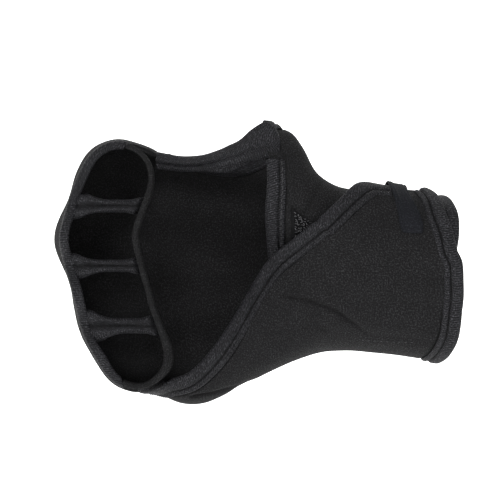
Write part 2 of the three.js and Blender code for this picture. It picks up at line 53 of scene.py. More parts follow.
# Back of the glove. One cloth panel runs from the wrist over the back and the knuckles to the finger
# holes; it is thin foam with a black stretch knit on it, and every other panel is sewn to its edges.
# The form of the whole glove is a soft union of round cones, (ax, ay, az, ra, bx, by, bz, rb).
CORES = np.array([
    (25, 1, 5.2, 17, -36, 1, 9.2, 15.6),
    (25, 1, -19.6, 16, -37.3, 1, -8, 16),
    (-35, 3, 9, 13, -120.3, 4, 33, 9.5),
    (-35, 4, 3, 13, -129.9, 6, 12, 8.6),
    (-35, 4, -4, 13, -122.2, 5, -8, 8.6),
    (-35, 3, -7, 12, -113.5, 3, -28.8, 9.1),
    (-35.8, -5, 5.8, 9.6, -70.2, -10, 29.9, 13),
    (-70, -7, 36, 11, -90, -22, 58, 10),
    (-46, -5, -8.7, 11, -93.9, -6, -32.1, 12),
    (-124.5, 4.5, 24.2, 8.9, -121, -40, 22.5, 8.8),
    (-125.4, 5, 2.3, 8.7, -121.5, -40, 2, 8.8),
    (-121.1, 4, -18.3, 9.9, -116, -38, -18, 8.6),
    (-120.3, 4, 33, 9.5, -117, -40, 33, 9),
    (-129.9, 6, 12, 8.6, -124, -42, 12, 9),
    (-122.2, 5, -8, 8.6, -119, -40, -8, 9),
    (-113.5, 3, -28.8, 9.1, -111.8, -36, -28.9, 8.5),
])
BLEND = 3.5
CLOTH = 1.7
MID = CLOTH / 2
HEM, HEM_WIDTH, HEM_RAMP = 0.9, 5.1, 1.4
HEM_SHADE_AT = 5.85
KNUCKLE_AT, BEND_LENGTH, BEND, BEND_RADIUS = 112.0, 28.0, np.radians(96), 14.0
STALL_AT = KNUCKLE_AT + BEND_LENGTH
MID_DEPTH = 2.0
# The glove's middle plane: (station, z) of its two sides, and (share across, mm) at the knuckles.
MIDDLE_TOP = [(0, 7), (40, 10), (55, 20), (70, 31), (95, 33), (120, 33), (165, 33)]
MIDDLE_BOTTOM = [(0, -13), (40, -10), (55, -15), (70, -23), (95, -29), (120, -28.5), (165, -28.5)]
KNUCKLE_ROW = [(0, -3), (1 / 3, 2), (2 / 3, -1), (1, -6)]


def mix(a, b, t):
    """Straight from a at t = 0 to b at t = 1."""
    return a + (b - a) * t


def fade(x, low, high):
    """0 below low, 1 above high, and the cubic 3t^2 - 2t^3 between."""
    t = np.clip((x - low) / (high - low), 0, 1)
    return t * t * (3 - 2 * t)


def bell(x, width):
    """1 at 0, falling on both sides as exp(-(x / width)^2)."""
    return np.exp(-(x / width) ** 2)


def unit(vectors):
    """Each vector divided by its length."""
    return vectors / np.linalg.norm(vectors, axis=-1, keepdims=True)


def through(table, x):
    """Smooth curve through (place, value) rows: a cubic on each gap, with the slope of the chord
    between the neighbouring rows at each row."""
    place, value = np.array(table, float).T
    back = np.maximum(np.arange(len(place)) - 1, 0)
    on = np.minimum(np.arange(len(place)) + 1, len(place) - 1)
    slope = (value[on] - value[back]) / (place[on] - place[back])
    x = np.clip(x, place[0], place[-1])
    i = np.clip(np.searchsorted(place, x, side="right") - 1, 0, len(place) - 2)
    gap = place[i + 1] - place[i]
    t = (x - place[i]) / gap
    ends = value[i] * (1 + 2 * t) * (1 - t) ** 2 + value[i + 1] * t * t * (3 - 2 * t)
    return ends + gap * (slope[i] * t * (1 - t) ** 2 - slope[i + 1] * t * t * (1 - t))


def height_of(p):
    """Height above the inner face: minus BLEND times the log of the sum of exp(-d / BLEND), where d
    is the distance to each round cone."""
    total = np.zeros(p.shape[:-1])
    for ax, ay, az, ra, bx, by, bz, rb in CORES:
        start = np.array([ax, ay, az])
        axis = np.array([bx, by, bz]) - start
        t = np.clip((p - start) @ axis / (axis @ axis), 0, 1)
        d = np.linalg.norm(p - start - t[..., None] * axis, axis=-1) - (ra + t * (rb - ra))
        total += np.exp(-d / BLEND)
    return -BLEND * np.log(total)


def spoke(at, around):
    """A line from the middle of the glove to its wall: its start and its direction. The place is a
    station from the wrist round the knuckles, and a turn: 0 to 1 back, 1 to 2 outer side, 2 to 3
    palm, 3 to 4 thumb side."""
    turn = BEND * np.clip((at - KNUCKLE_AT) / BEND_LENGTH, 0, 1)
    k = np.mod(around, 4)
    across = np.select([k <= 1, k <= 2, k <= 3], [k, 1 + 0 * k, 3 - k], 0)
    reach = BEND_RADIUS + through(KNUCKLE_ROW, across) * fade(turn, 0, BEND)
    beyond = np.maximum(at - STALL_AT, 0)
    x = -np.minimum(at, KNUCKLE_AT) - np.sin(turn) * reach - np.cos(turn) * beyond
    y = MID_DEPTH - BEND_RADIUS + np.cos(turn) * reach - np.sin(turn) * beyond
    z = mix(through(MIDDLE_TOP, at), through(MIDDLE_BOTTOM, at), across)
    angle = np.pi * np.select([k <= 1, k <= 2, k <= 3], [0 * k, k - 1, 1 + 0 * k], k - 2)
    way = [-np.sin(turn) * np.cos(angle), np.cos(turn) * np.cos(angle), -np.sin(angle)]
    return np.stack([x, y, z], -1), np.stack(way, -1)


def wall_point(at, around, height):
    """The wall's point at a place and a height above the inner face: a walk along the spoke, in full
    steps at first and then by the secant rule, until height_of gives that height."""
    at, around, height = np.broadcast_arrays(np.asarray(at, float), around, height)
    start, way = spoke(at, around)
    s = np.zeros(at.shape)
    slope = np.ones(at.shape)
    old_s, old_f = s - 1, s
    for turn in range(20):
        f = height_of(start + s[..., None] * way) - height
        step = s - old_s
        known = (np.abs(step) > 1e-6) & (turn > 10)
        guess = (f - old_f) / np.where(known, step, 1)
        slope = np.where(known, np.clip(guess, 0.4, 1.2), slope)
        old_s, old_f = s, f
        s = s - f / slope
    return start + s[..., None] * way


def piece_mesh(name, points, faces, uv, material):
    """A finished mesh piece from points in millimetres and quads, with one UV value in millimetres
    for each point; turned so that its faces point outwards."""
    points, faces = points.reshape(-1, 3), faces.reshape(-1, 4)
    a, b, c, d = (points[faces[:, i]] for i in range(4))
    volume = (np.cross(b - a, c - a) * a).sum() + (np.cross(c - a, d - a) * a).sum()
    if volume < 0:
        faces = faces[:, ::-1]
    mesh = bpy.data.meshes.new(name)
    mesh.vertices.add(len(points))
    mesh.vertices.foreach_set("co", (points / 1000).astype(np.float32).ravel())
    mesh.loops.add(faces.size)
    mesh.loops.foreach_set("vertex_index", faces.astype(np.int32).ravel())
    mesh.polygons.add(len(faces))
    mesh.polygons.foreach_set("loop_start", np.arange(0, faces.size, 4, dtype=np.int32))
    mesh.polygons.foreach_set("use_smooth", np.ones(len(faces), bool))
    mesh.update(calc_edges=True)
    layer = mesh.uv_layers.new(name="lay")
    layer.data.foreach_set("uv", uv.reshape(-1, 2)[faces.ravel()].astype(np.float32).ravel())
    mesh.validate()
    mesh.materials.append(material)
    made = bpy.data.objects.new(name, mesh)
    bpy.context.scene.collection.objects.link(made)
    return made


def paint_shade(made, depth):
    """Gives each point of a mesh its painted shade, as a point attribute: 0 on open cloth, 1 where a
    groove is painted darkest."""
    layer = made.data.attributes.new("painted_shade", "FLOAT", "POINT")
    layer.data.foreach_set("value", depth.astype(np.float32))


def lengths(grid):
    """UV in millimetres for a grid of points: the arc length along each column and each row."""
    along = np.linalg.norm(np.diff(grid, axis=0), axis=-1)
    over = np.linalg.norm(np.diff(grid, axis=1), axis=-1)
    u = np.concatenate([np.zeros((1, grid.shape[1])), np.cumsum(along, 0)])
    v = np.concatenate([np.zeros((grid.shape[0], 1)), np.cumsum(over, 1)], 1)
    return np.stack([u, v], -1)


def sheet_piece(name, outer, inner, material, painted_shade=None):
    """A closed sheet between an outer and an inner grid of points, with a rounded edge: the border
    points of both grids meet in a line that stands out by a third of the thickness. The inner face
    is given a quarter of full painted shade."""
    n, m = outer.shape[:2]
    i, j = np.arange(n), np.arange(m)
    border = np.concatenate([
        np.stack([i[:-1], 0 * i[:-1]], 1),
        np.stack([0 * j[:-1] + n - 1, j[:-1]], 1),
        np.stack([i[:0:-1], 0 * i[:0:-1] + m - 1], 1),
        np.stack([0 * j[:0:-1], j[:0:-1]], 1),
    ])
    bi, bj = border.T
    near_i, near_j = np.clip(bi, 1, n - 2), np.clip(bj, 1, m - 2)
    middle = (outer[bi, bj] + inner[bi, bj]) / 2
    out = middle - (outer[near_i, near_j] + inner[near_i, near_j]) / 2
    out /= np.linalg.norm(out, axis=1, keepdims=True) + 1e-9
    thick = np.linalg.norm(outer[bi, bj] - inner[bi, bj], axis=1, keepdims=True)
    line = middle + out * thick * 0.33
    ids = np.arange(n * m).reshape(n, m)
    a, b, c, d = ids[:-1, :-1], ids[1:, :-1], ids[1:, 1:], ids[:-1, 1:]
    top = np.stack([a, b, c, d], -1).reshape(-1, 4)
    under = n * m + top[:, ::-1]
    ring = ids[bi, bj]
    ring_next = np.roll(ring, -1)
    mid = 2 * n * m + np.arange(len(ring))
    mid_next = np.roll(mid, -1)
    wall = np.stack([ring_next, ring, mid, mid_next], 1)
    wall_in = np.stack([mid_next, mid, ring + n * m, ring_next + n * m], 1)
    points = np.concatenate([outer.reshape(-1, 3), inner.reshape(-1, 3), line])
    lay = lengths(outer)
    over = lay[bi, bj] - lay[near_i, near_j]
    over /= np.linalg.norm(over, axis=1, keepdims=True) + 1e-9
    uv = np.concatenate([lay.reshape(-1, 2), lay.reshape(-1, 2), lay[bi, bj] + 0.6 * thick * over])
    made = piece_mesh(name, points, np.concatenate([top, under, wall, wall_in]), uv, material)
    # Painted shade: the outer face, the inner face and the edge line each get their share.
    if painted_shade is not None:
        paint_shade(made, np.concatenate([painted_shade.ravel(), 0 * painted_shade.ravel() + 0.25, painted_shade[bi, bj]]))
    return made


def edge_line(edge, count=500):
    """Points of the middle of the cloth along an edge."""
    return wall_point(*edge(np.linspace(0, 1, count)), MID)


def run_along(line):
    """How far along a line of points each of them lies."""
    return np.concatenate([[0], np.cumsum(np.linalg.norm(np.diff(line, axis=0), axis=1))])


def nearest(points, line):
    """For each point the distance to a line of points, and how far along the line that is."""
    flat_points = points.reshape(-1, 3)
    along = run_along(line)
    distance, place = np.empty(len(flat_points)), np.empty(len(flat_points))
    for start in range(0, len(flat_points), 4000):
        part = flat_points[start:start + 4000]
        d2 = ((part[:, None] - line[None]) ** 2).sum(-1)
        best = d2.argmin(1)
        distance[start:start + 4000] = np.sqrt(d2[np.arange(len(part)), best])
        place[start:start + 4000] = along[best]
    return distance.reshape(points.shape[:-1]), place.reshape(points.shape[:-1])


def ripple(p, seed, length, amount):
    """Slight unevenness: the mean of eight sine waves about as long as length, in seeded directions."""
    dice = np.random.default_rng(seed)
    total = np.zeros(p.shape[:-1])
    for _ in range(8):
        way = dice.normal(size=3)
        way *= 2 * np.pi / (length * dice.uniform(0.7, 1.5) * np.linalg.norm(way))
        total += np.sin(p @ way + dice.uniform(0, 2 * np.pi))
    return amount * total / 3


def knit_material(name, colour, speck, roughness, stitch, bump, grain=1.0, rib=None):
    """Black stretch knit. Voronoi cells as wide as a stitch give the loops, noise the light specks
    and the mottling, and a sine along the length the cross ribs of a tape, one to each rib; on a
    tape, bright noise specks are painted glints. All lengths are in millimetres, as the UV is.
    Painted shade: a point attribute darkens grooves, seams and creases towards near black."""
    material = bpy.data.materials.new(name)
    material.use_nodes = True
    nodes, links = material.node_tree.nodes, material.node_tree.links
    shader = nodes["Principled BSDF"]
    lay = nodes.new("ShaderNodeUVMap")
    lay.uv_map = "lay"

    def texture(kind, scale, **settings):
        """A texture node that reads the piece's own UV map."""
        made = nodes.new(kind)
        links.new(lay.outputs["UV"], made.inputs["Vector"])
        made.inputs["Scale"].default_value = scale
        for key, value in settings.items():
            made.inputs[key].default_value = value
        return made

    def math(operation, a, b, clamp=False):
        """The output of a Math node on a and b, each a number or a socket."""
        made = nodes.new("ShaderNodeMath")
        made.operation = operation
        made.use_clamp = clamp
        for socket, value in zip(made.inputs, (a, b)):
            if isinstance(value, (int, float)):
                socket.default_value = value
            else:
                links.new(value, socket)
        return made.outputs[0]

    loops = texture("ShaderNodeTexVoronoi", 1 / stitch, Randomness=0.45)
    loops.voronoi_dimensions = "2D"
    fuzz = texture("ShaderNodeTexNoise", 1.7, Detail=3.0, Roughness=0.75)
    fuzz.noise_dimensions = "2D"
    cloud = texture("ShaderNodeTexNoise", 0.16, Detail=3.0, Roughness=0.55)
    cloud.noise_dimensions = "2D"
    height = math("SUBTRACT", 0.6, loops.outputs["Distance"])
    if rib:
        apart = nodes.new("ShaderNodeSeparateXYZ")
        links.new(lay.outputs["UV"], apart.inputs[0])
        wave = math("SINE", math("MULTIPLY", apart.outputs["X"], 2 * np.pi / rib), 0.0)
        height = math("ADD", math("MULTIPLY", height, 0.3), math("MULTIPLY", wave, 0.55))
    height = math("ADD", height, math("MULTIPLY", fuzz.outputs["Fac"], 0.9 * grain))
    light = math("MULTIPLY", math("SUBTRACT", fuzz.outputs["Fac"], 0.5), 6.0, True)
    dots = math("MULTIPLY", math("SUBTRACT", 0.5, loops.outputs["Distance"]), 1.4, True)
    shade = math("ADD", math("MULTIPLY", light, 0.6 * grain), math("MULTIPLY", dots, 0.35))
    if rib:
        shade = math("ADD", shade, math("MULTIPLY", wave, 0.18))
        # Painted glints: bright specks from the noise lighten the tape's colour towards its speck colour.
        painted_glint = math("MULTIPLY", math("SUBTRACT", fuzz.outputs["Fac"], 0.6), 12.0, True)
        shade = math("ADD", shade, math("MULTIPLY", painted_glint, 0.5))
    shade = math("MULTIPLY", shade, math("ADD", cloud.outputs["Fac"], 0.45), True)
    blend = nodes.new("ShaderNodeMix")
    blend.data_type = "RGBA"
    blend.inputs["A"].default_value = (*colour, 1)
    blend.inputs["B"].default_value = (*speck, 1)
    links.new(shade, blend.inputs["Factor"])
    # Painted shade: the attribute read here mixes the colour towards the near-black colour below, in grooves,
    # seams and creases.
    groove = nodes.new("ShaderNodeAttribute")
    groove.attribute_name = "painted_shade"
    deep = nodes.new("ShaderNodeMix")
    deep.data_type = "RGBA"
    deep.inputs["B"].default_value = (0.0012, 0.0012, 0.0013, 1)
    links.new(math("MULTIPLY", groove.outputs["Fac"], 0.85, True), deep.inputs["Factor"])
    links.new(blend.outputs["Result"], deep.inputs["A"])
    links.new(deep.outputs["Result"], shader.inputs["Base Color"])
    dull = math("SUBTRACT", roughness, math("MULTIPLY", light, 0.25))
    links.new(dull, shader.inputs["Roughness"])
    shader.inputs["Specular IOR Level"].default_value = 0.12
    raise_it = nodes.new("ShaderNodeBump")
    raise_it.inputs["Strength"].default_value = 1.0
    raise_it.inputs["Distance"].default_value = bump / 1000
    links.new(height, raise_it.inputs["Height"])
    links.new(raise_it.outputs["Normal"], shader.inputs["Normal"])
    return material


knit = knit_material("knit", (0.0036, 0.0036, 0.0038), (0.031, 0.031, 0.0325), 0.92, 0.55, 0.12)

# (turn, mm back from the opening) rows for wrist ends, and (station, turn) rows for seams and edges.
BACK_WRIST_END = [(-0.5, 7), (-0.42, 6.8), (-0.3, 5.4), (0, 2.5), (1, 2.5), (1.4, 6.6), (1.55, 7.6)]
TAPE_LIP = 1.15
WRIST_FADE = 22.0
OUTER_SEAM = [(0, 1.47), (40, 1.52), (70, 1.6), (97, 1.6), (112, 1.56), (160, 1.56)]
SEAM_TURN = 0.003
HOLE_END = 147.5
HOLE_CUT, CUT_FROM = 5.0, 0.88
THUMB_HOLE_FROM, THUMB_HOLE_TO = 15 / 33, 23 / 33
THUMB_CORNER = HOLE_END * THUMB_HOLE_FROM
THUMB_SEAM = 3.5
SEAM_LENGTH = 114.0
THUMB_EDGE = [
    (0, -0.5), (60, -0.5), (THUMB_CORNER, -0.5), (71.5, -0.44), (77, -0.37),
    (84, -0.34), (93, -0.4), (103, -0.58), (112, -0.66), (160, -0.66),
]
BACK_FROM = through(THUMB_EDGE, HOLE_END) + SEAM_TURN
BACK_TO = through(OUTER_SEAM, HOLE_END) - SEAM_TURN


def from_wrist(at, back):
    """The station moved in from the opening by the lip and by back, less and less up to WRIST_FADE."""
    return at + (TAPE_LIP + back) * np.maximum(0, 1 - at / WRIST_FADE)


def hole_cut(turn):
    """How much shorter the cloth is at a finger hole: a cosine wave, 0 between the holes."""
    return HOLE_CUT * (0.5 - 0.5 * np.cos(6 * np.pi * turn))


def back_place(station, share):
    """Place on the back: station runs from wrist to finger holes, and share from the thumb side to
    the outer seam."""
    turn = mix(BACK_FROM, BACK_TO, share)
    at = station * HOLE_END - hole_cut(np.clip(turn, 0, 1)) * fade(station, CUT_FROM, 1)
    low, high = through(THUMB_EDGE, at) + SEAM_TURN, through(OUTER_SEAM, at) - SEAM_TURN
    around = mix(low, high, share)
    return from_wrist(at, through(BACK_WRIST_END, around)), around


# The share of the thumb hole's edge that is on the thumb panel, up to the thumb seam.
CORNER = 3 / 11


def thumb_hole_edge(k):
    """The thumb hole's edge: on the thumb panel up to the corner, then on the back."""
    on_panel = thumb_place(0, mix(THUMB_TIP, THUMB_SEAM, np.minimum(k / CORNER, 1)))
    at = HOLE_END * mix(THUMB_HOLE_FROM, THUMB_HOLE_TO, np.clip((k - CORNER) / (1 - CORNER), 0, 1))
    on_back = at, through(THUMB_EDGE, at) + 4
    return tuple(np.where(k < CORNER, a, b) for a, b in zip(on_panel, on_back))


# (turn, station) rows of the thumb panel's free edge, and (turn, mm back) rows of its wrist end.
THUMB_FREE_EDGE = [
    (2.4, 66.3), (2.6, 67.3), (2.8, 68), (3.05, 67.3), (3.2, 68.3), (3.27, 69.3),
    (3.35, 67.9), (3.43, 67.3), (THUMB_SEAM, THUMB_CORNER),
]
THUMB_WRIST_END = [
    (2.4, 4), (3, 3.4), (3.1, 2.6), (3.2, 2.6), (3.3, 4), (3.38, 5.5), (3.44, 6.6),
    (THUMB_SEAM, 7),
]
THUMB_PANEL_LOW = 2.43
PALM_EDGE_TOP = 3.1
THUMB_TIP = 3.27


def thumb_place(station, around):
    """Place on the thumb panel: station runs from its free edge to the wrist."""
    at = mix(through(THUMB_FREE_EDGE, around), 0, station)
    return from_wrist(at, through(THUMB_WRIST_END, around)), around + 0 * station


def spread(count, crowd):
    """Numbers from 0 to 1, crowded towards both ends by a cosine in the share crowd."""
    t = np.linspace(0, 1, count)
    return mix(t, 0.5 - 0.5 * np.cos(np.pi * t), crowd)


SEAM_WIDTH, SEAM_SWELL_AT, SEAM_SWELL_WIDTH, SEAM_SHADE = 0.75, 2.2, 0.9, 0.6


def panel_grids(place, columns, rows, taped, seamed, rise, relief):
    """Outer and inner points of a cloth panel, and its painted shade: squeezed to HEM along its
    taped edges, rolled in along its seams in the form of a bell curve less a wider, lower one, and
    raised outside by its own relief. The painted shade is the relief's, with a painted shadow line
    just inside each taped edge and painted shade on each seam."""
    at, around = place(columns[:, None] + 0 * rows, rows + 0 * columns[:, None])
    up = rise(at, around)
    middle = wall_point(at, around, up + MID)
    half = np.full(at.shape, MID)
    lift, painted_shade = relief(middle, at, around)
    for edge in taped:
        d, _ = nearest(middle, edge_line(edge))
        half = np.minimum(half, mix(HEM, CLOTH, fade(d, HEM_WIDTH, HEM_WIDTH + HEM_RAMP)) / 2)
        # Painted shadow: a dark line just inside the tape's edge.
        painted_shade = painted_shade + 0.6 * bell(d - HEM_SHADE_AT, 0.45)
    roll = np.zeros(at.shape)
    for edge, depth in seamed:
        d, _ = nearest(middle, edge_line(edge))
        roll += depth * (bell(d, SEAM_WIDTH) - 0.22 * bell(d - SEAM_SWELL_AT, SEAM_SWELL_WIDTH))
        # Painted shade along the seam.
        painted_shade = painted_shade + 0.9 * bell(d, SEAM_SHADE)
    outer = wall_point(at, around, up + MID + half - roll + lift)
    inner = wall_point(at, around, up + MID - half + 0.3 * roll)
    return outer, inner, np.clip(painted_shade, 0, 1)


def flat_rise(at, around):
    """Cloth that lies straight on the form."""
    return 0 * at


CUFF_LIFT, TIP_DROP, SHOULDER_LIFT, SHOULDER_TURN = 2.4, 2.2, 1.7, 3.33


def under_rise(at, around):
    """How far the under layer stands off the form: CUFF_LIFT at its wrist end on the thumb side,
    beyond the wrap, TIP_DROP lower in a bell at the thumb panel's tip, and SHOULDER_LIFT in a bell
    next to it."""
    turn = np.mod(around, 4)
    window = fade(turn, 3.08, 3.25) * (1 - fade(turn, 3.6, 3.85))
    tip = bell(at - 70.5, 3.2) * bell(turn - SHOULDER_TURN, 0.1)
    shoulder = bell(at - 58.5, 5) * bell(turn - SHOULDER_TURN, 0.13)
    return CUFF_LIFT * window * (1 - fade(at, 4, 11)) - TIP_DROP * tip + SHOULDER_LIFT * shoulder


def finger_edge(share):
    """The back's edge at the finger holes, from the thumb side to the outer side."""
    return back_place(1 + 0 * share, share)


def back_wrist_edge(share):
    """The back's edge at the wrist, from the thumb side to the outer side."""
    return back_place(0 * share, share)


def outer_seam_edge(k):
    """The seam of back and wrap along the outer side, from the wrist."""
    at = SEAM_LENGTH * k
    return at, through(OUTER_SEAM, at)


def thumb_seam_edge(k):
    """The seam of back and thumb panel along the thumb side, from the wrist."""
    at = THUMB_CORNER * k
    return at, through(THUMB_EDGE, at) + 4


def back_relief(p, at, around):
    """Long shallow waves, and short ones a quarter as high."""
    return ripple(p, 3, 26, 0.22) + ripple(p, 4, 9, 0.05), 0 * at


outer, inner, painted_shade = panel_grids(
    back_place, spread(200, 0.3), spread(165, 0.2),
    [finger_edge, back_wrist_edge, thumb_hole_edge], [(outer_seam_edge, 0.55), (thumb_seam_edge, 0.3)],
    under_rise, back_relief,
)
back_shell = sheet_piece("back", outer, inner, knit, painted_shade)
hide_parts("back_shell")
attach(back_shell, "root")

# Thumb panel. It wraps the base of the thumb, is sewn to the back along the thumb side, and its free
# edge bounds the palm opening and the thumb hole. The same knit on thin foam.
DRAG_X, DRAG_Z = -66.0, 38.0


def thumb_relief(p, at, around):
    """Soft drag lines that fan out from the corner between the palm opening and the thumb hole, as
    a sine of the angle there, one fold as a bell-shaped groove, and slight waves; the fold also
    carries painted shade."""
    x, z = seen(p)
    turn = np.arctan2(z - DRAG_Z, x - DRAG_X)
    away = np.hypot(z - DRAG_Z, x - DRAG_X)
    drag = 0.16 * np.sin(7 * turn + 0.6) * bell(away - 17, 10)
    side, along = beside(p, THUMB_FOLD)
    fold = bell(side, 1.3) * fade(along, 0, 0.2) * (1 - fade(along, 0.7, 1))
    return drag - 0.4 * fold + ripple(p, 8, 22, 0.18) + ripple(p, 9, 8, 0.05), 0.35 * fold


def seen(p):
    """x and z in the plane y = 0 where a point is seen from the camera's place."""
    k = -VIEW[1] / (p[..., 1] - VIEW[1])
    return VIEW[0] + (p[..., 0] - VIEW[0]) * k, VIEW[2] + (p[..., 2] - VIEW[2]) * k


def beside(p, line):
    """Signed distance in the seen plane from a bent line of (x, z) corners, positive on its left,
    and how far along the line each point lies, from 0 to 1."""
    x, z = seen(p)
    line = np.array(line, float)
    best = np.full(x.shape, 1e9)
    side, along = np.zeros(x.shape), np.zeros(x.shape)
    total = run_along(line)[-1]
    gone = 0.0
    for (ax, az), (bx, bz) in zip(line[:-1], line[1:]):
        dx, dz = bx - ax, bz - az
        size = np.hypot(dx, dz)
        t = np.clip(((x - ax) * dx + (z - az) * dz) / size ** 2, 0, 1)
        d = np.hypot(x - ax - t * dx, z - az - t * dz)
        closer = d < best
        best = np.where(closer, d, best)
        side = np.where(closer, np.sign(dx * (z - az) - dz * (x - ax)), side)
        along = np.where(closer, (gone + t * size) / total, along)
        gone += size
    return best * side, along


THUMB_FOLD = [(-49.5, 32), (-53.2, 23.5), (-56.7, 17.5)]


def palm_edge(k):
    """The thumb panel's edge at the palm opening, up to its tip."""
    return thumb_place(0 * k, mix(THUMB_PANEL_LOW, PALM_EDGE_TOP, k))


def thumb_panel_place(station, share):
    """Place on the thumb panel, with share from its edge under the wrap to the thumb seam."""
    return thumb_place(station, mix(THUMB_PANEL_LOW, THUMB_SEAM - SEAM_TURN, share))


def thumb_wrist_edge(k):
    """The thumb panel's edge at the wrist."""
    return thumb_panel_place(1 + 0 * k, k)


outer, inner, painted_shade = panel_grids(
    thumb_panel_place,
    spread(190, 0.4), spread(130, 0.2), [palm_edge, thumb_hole_edge, thumb_wrist_edge],
    [(thumb_seam_edge, 0.3)], under_rise, thumb_relief,
)
thumb_panel = sheet_piece("thumb_base", outer, inner, knit, painted_shade)
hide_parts("thumb_panel")
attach(thumb_panel, "root")

# Palm wrap. The large panel over the outer side of the palm and the wrist; sewn to the back along the
# outer side, its diagonal edge is free and laps over the thumb panel.
LAP_LIFT, LAP_FADE = 3.7, (69, 86)
# The diagonal edge where it is seen, as (-x, z) rows.
WRAP_DIAGONAL = [
    (38, 27.6), (42, 24.5), (49, 18.2), (58, 11), (67, 3.5), (73.5, -6.5), (79.5, -16.8),
    (86.5, -27.3), (95, -36), (104, -39),
]
WALK_FROM = 650


def lift_fade(at):
    """The share of LAP_LIFT at a station: 1 over the thumb panel and 0 beyond it."""
    return 1 - fade(at, *LAP_FADE)


def palm_place(x, z, height):
    """The place on the palm side that is seen at x, z: a walk along the line of sight."""
    way = unit(np.array([x, 0, z]) - VIEW)
    p = VIEW + way * WALK_FROM
    for _ in range(60):
        p = p + way * 0.9 * (height_of(p) - height)
    top, bottom = through(MIDDLE_TOP, -p[0]), through(MIDDLE_BOTTOM, -p[0])
    if p[2] > top:
        return -p[0], 4 - np.arctan2(p[2] - top, p[1] - MID_DEPTH) / np.pi
    if p[2] < bottom:
        return -p[0], 1 + np.arctan2(bottom - p[2], p[1] - MID_DEPTH) / np.pi
    return -p[0], 2 + (p[2] - bottom) / (top - bottom)


WRAP_EDGE = [(0, 3.41), (16, 3.39), (28, 3.37), (33, 3.35)]
WRAP_EDGE += [
    palm_place(-x, through(WRAP_DIAGONAL, x), MID + LAP_LIFT * lift_fade(x))
    for x in np.linspace(39, 104, 53)
]
WRAP_EDGE += [(110, 1.74), (SEAM_LENGTH, 1.71)]
WRAP_WRIST_END = [
    (1.4, 6.6), (1.55, 7.6), (1.7, 5), (1.86, 2.5), (2.16, 1.5), (2.51, 1.5), (2.8, 1.9),
    (2.95, 3.2), (3.1, 5.2), (3.19, 7.2), (3.29, 8.6), (3.37, 10.4), (3.43, 12.8),
]


def wrap_rise(at, around):
    """How far the wrap is lifted over the thumb panel and its own rise, with a bell-shaped swell
    where its free edge turns."""
    swell = 1.5 * bell(at - 39, 6) * fade(around, 3.15, 3.3)
    return LAP_LIFT * fade(around, 1.62, 2.38) * lift_fade(at) + swell + under_rise(at, around)


def wrap_place(station, share):
    """Place on the wrap: station from the wrist to its tip, share from the outer seam to the free
    edge."""
    at = station * SEAM_LENGTH
    around = mix(through(OUTER_SEAM, at) + SEAM_TURN, through(WRAP_EDGE, at), share)
    return from_wrist(at, through(WRAP_WRIST_END, around)), around


def wrap_free_edge(k):
    """The wrap's diagonal edge, from the wrist to its tip."""
    return wrap_place(k, 1 + 0 * k)


def wrap_wrist_edge(share):
    """The wrap's edge at the wrist, from the outer seam to the free edge."""
    return wrap_place(0 * share, share)


# Lines on the wrap where they are seen, as (x, z) rows.
CREASE = [
    (-65, -8), (-53.2, -10.2), (-44.5, -13.3), (-38.5, -17.5), (-32.2, -21.6), (-25.2, -22.2),
    (-16.5, -22.6), (-7.7, -25.6),
]
LOWER_SEAM = [(-96.2, -43.2), (-87.2, -41.8), (-78, -39), (-70.7, -35.8)]
PUCKERS = [((-52, -18.6), (-46.5, -20.4)), ((-46, -21.8), (-40, -23)), ((-37, -26), (-30.5, -26.3))]


def wrap_relief(p, at, around):
    """The crease that runs from the diagonal edge to the outer side of the wrist, with a soft swell
    above it, three puckers under it, the seam near the wrap's tip, and slight waves. Each line is a
    bell-shaped groove across its path, and carries painted shade."""
    on_palm = fade(around, 1.75, 2.0)
    side, along = beside(p, CREASE)
    depth = 0.5 + 0.5 * fade(along, 0.25, 0.6)
    ends = fade(along, 0, 0.06) * (1 - fade(along, 0.93, 1))
    line = bell(side, 0.6) * ends
    x, z = seen(p)
    swell = bell(x + 30, 9) * bell(z + 16, 5)
    lip = 0.5 * bell(side - 2.4, 1.7) * ends
    total = 1.15 * depth * (lip - line) + swell * fade(side, -0.5, 1.5)
    # Painted shade in the crease, the puckers and the lower seam.
    painted_shade = line * (0.55 + 0.45 * fade(along, 0.1, 0.5))
    for ends in PUCKERS:
        side, along = beside(p, ends)
        line = bell(side, 0.8) * np.sin(np.pi * along)
        total = total - 0.5 * line
        painted_shade = painted_shade + 0.6 * line
    side, along = beside(p, LOWER_SEAM)
    seam = bell(side, 0.55) * fade(along, 0, 0.1) * (1 - fade(along, 0.8, 1))
    seam = seam * fade(around, 1.5, 1.56)
    total = total * on_palm - 0.6 * seam
    return total + ripple(p, 5, 24, 0.2) + ripple(p, 6, 8, 0.05), painted_shade * on_palm + seam


outer, inner, painted_shade = panel_grids(
    wrap_place, spread(235, 0.3), spread(165, 0.35),
    [wrap_free_edge, wrap_wrist_edge], [(outer_seam_edge, 0.55)], wrap_rise, wrap_relief,
)
palm_wrap = sheet_piece("wrap", outer, inner, knit, painted_shade)
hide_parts("palm_wrap")
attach(palm_wrap, "root")

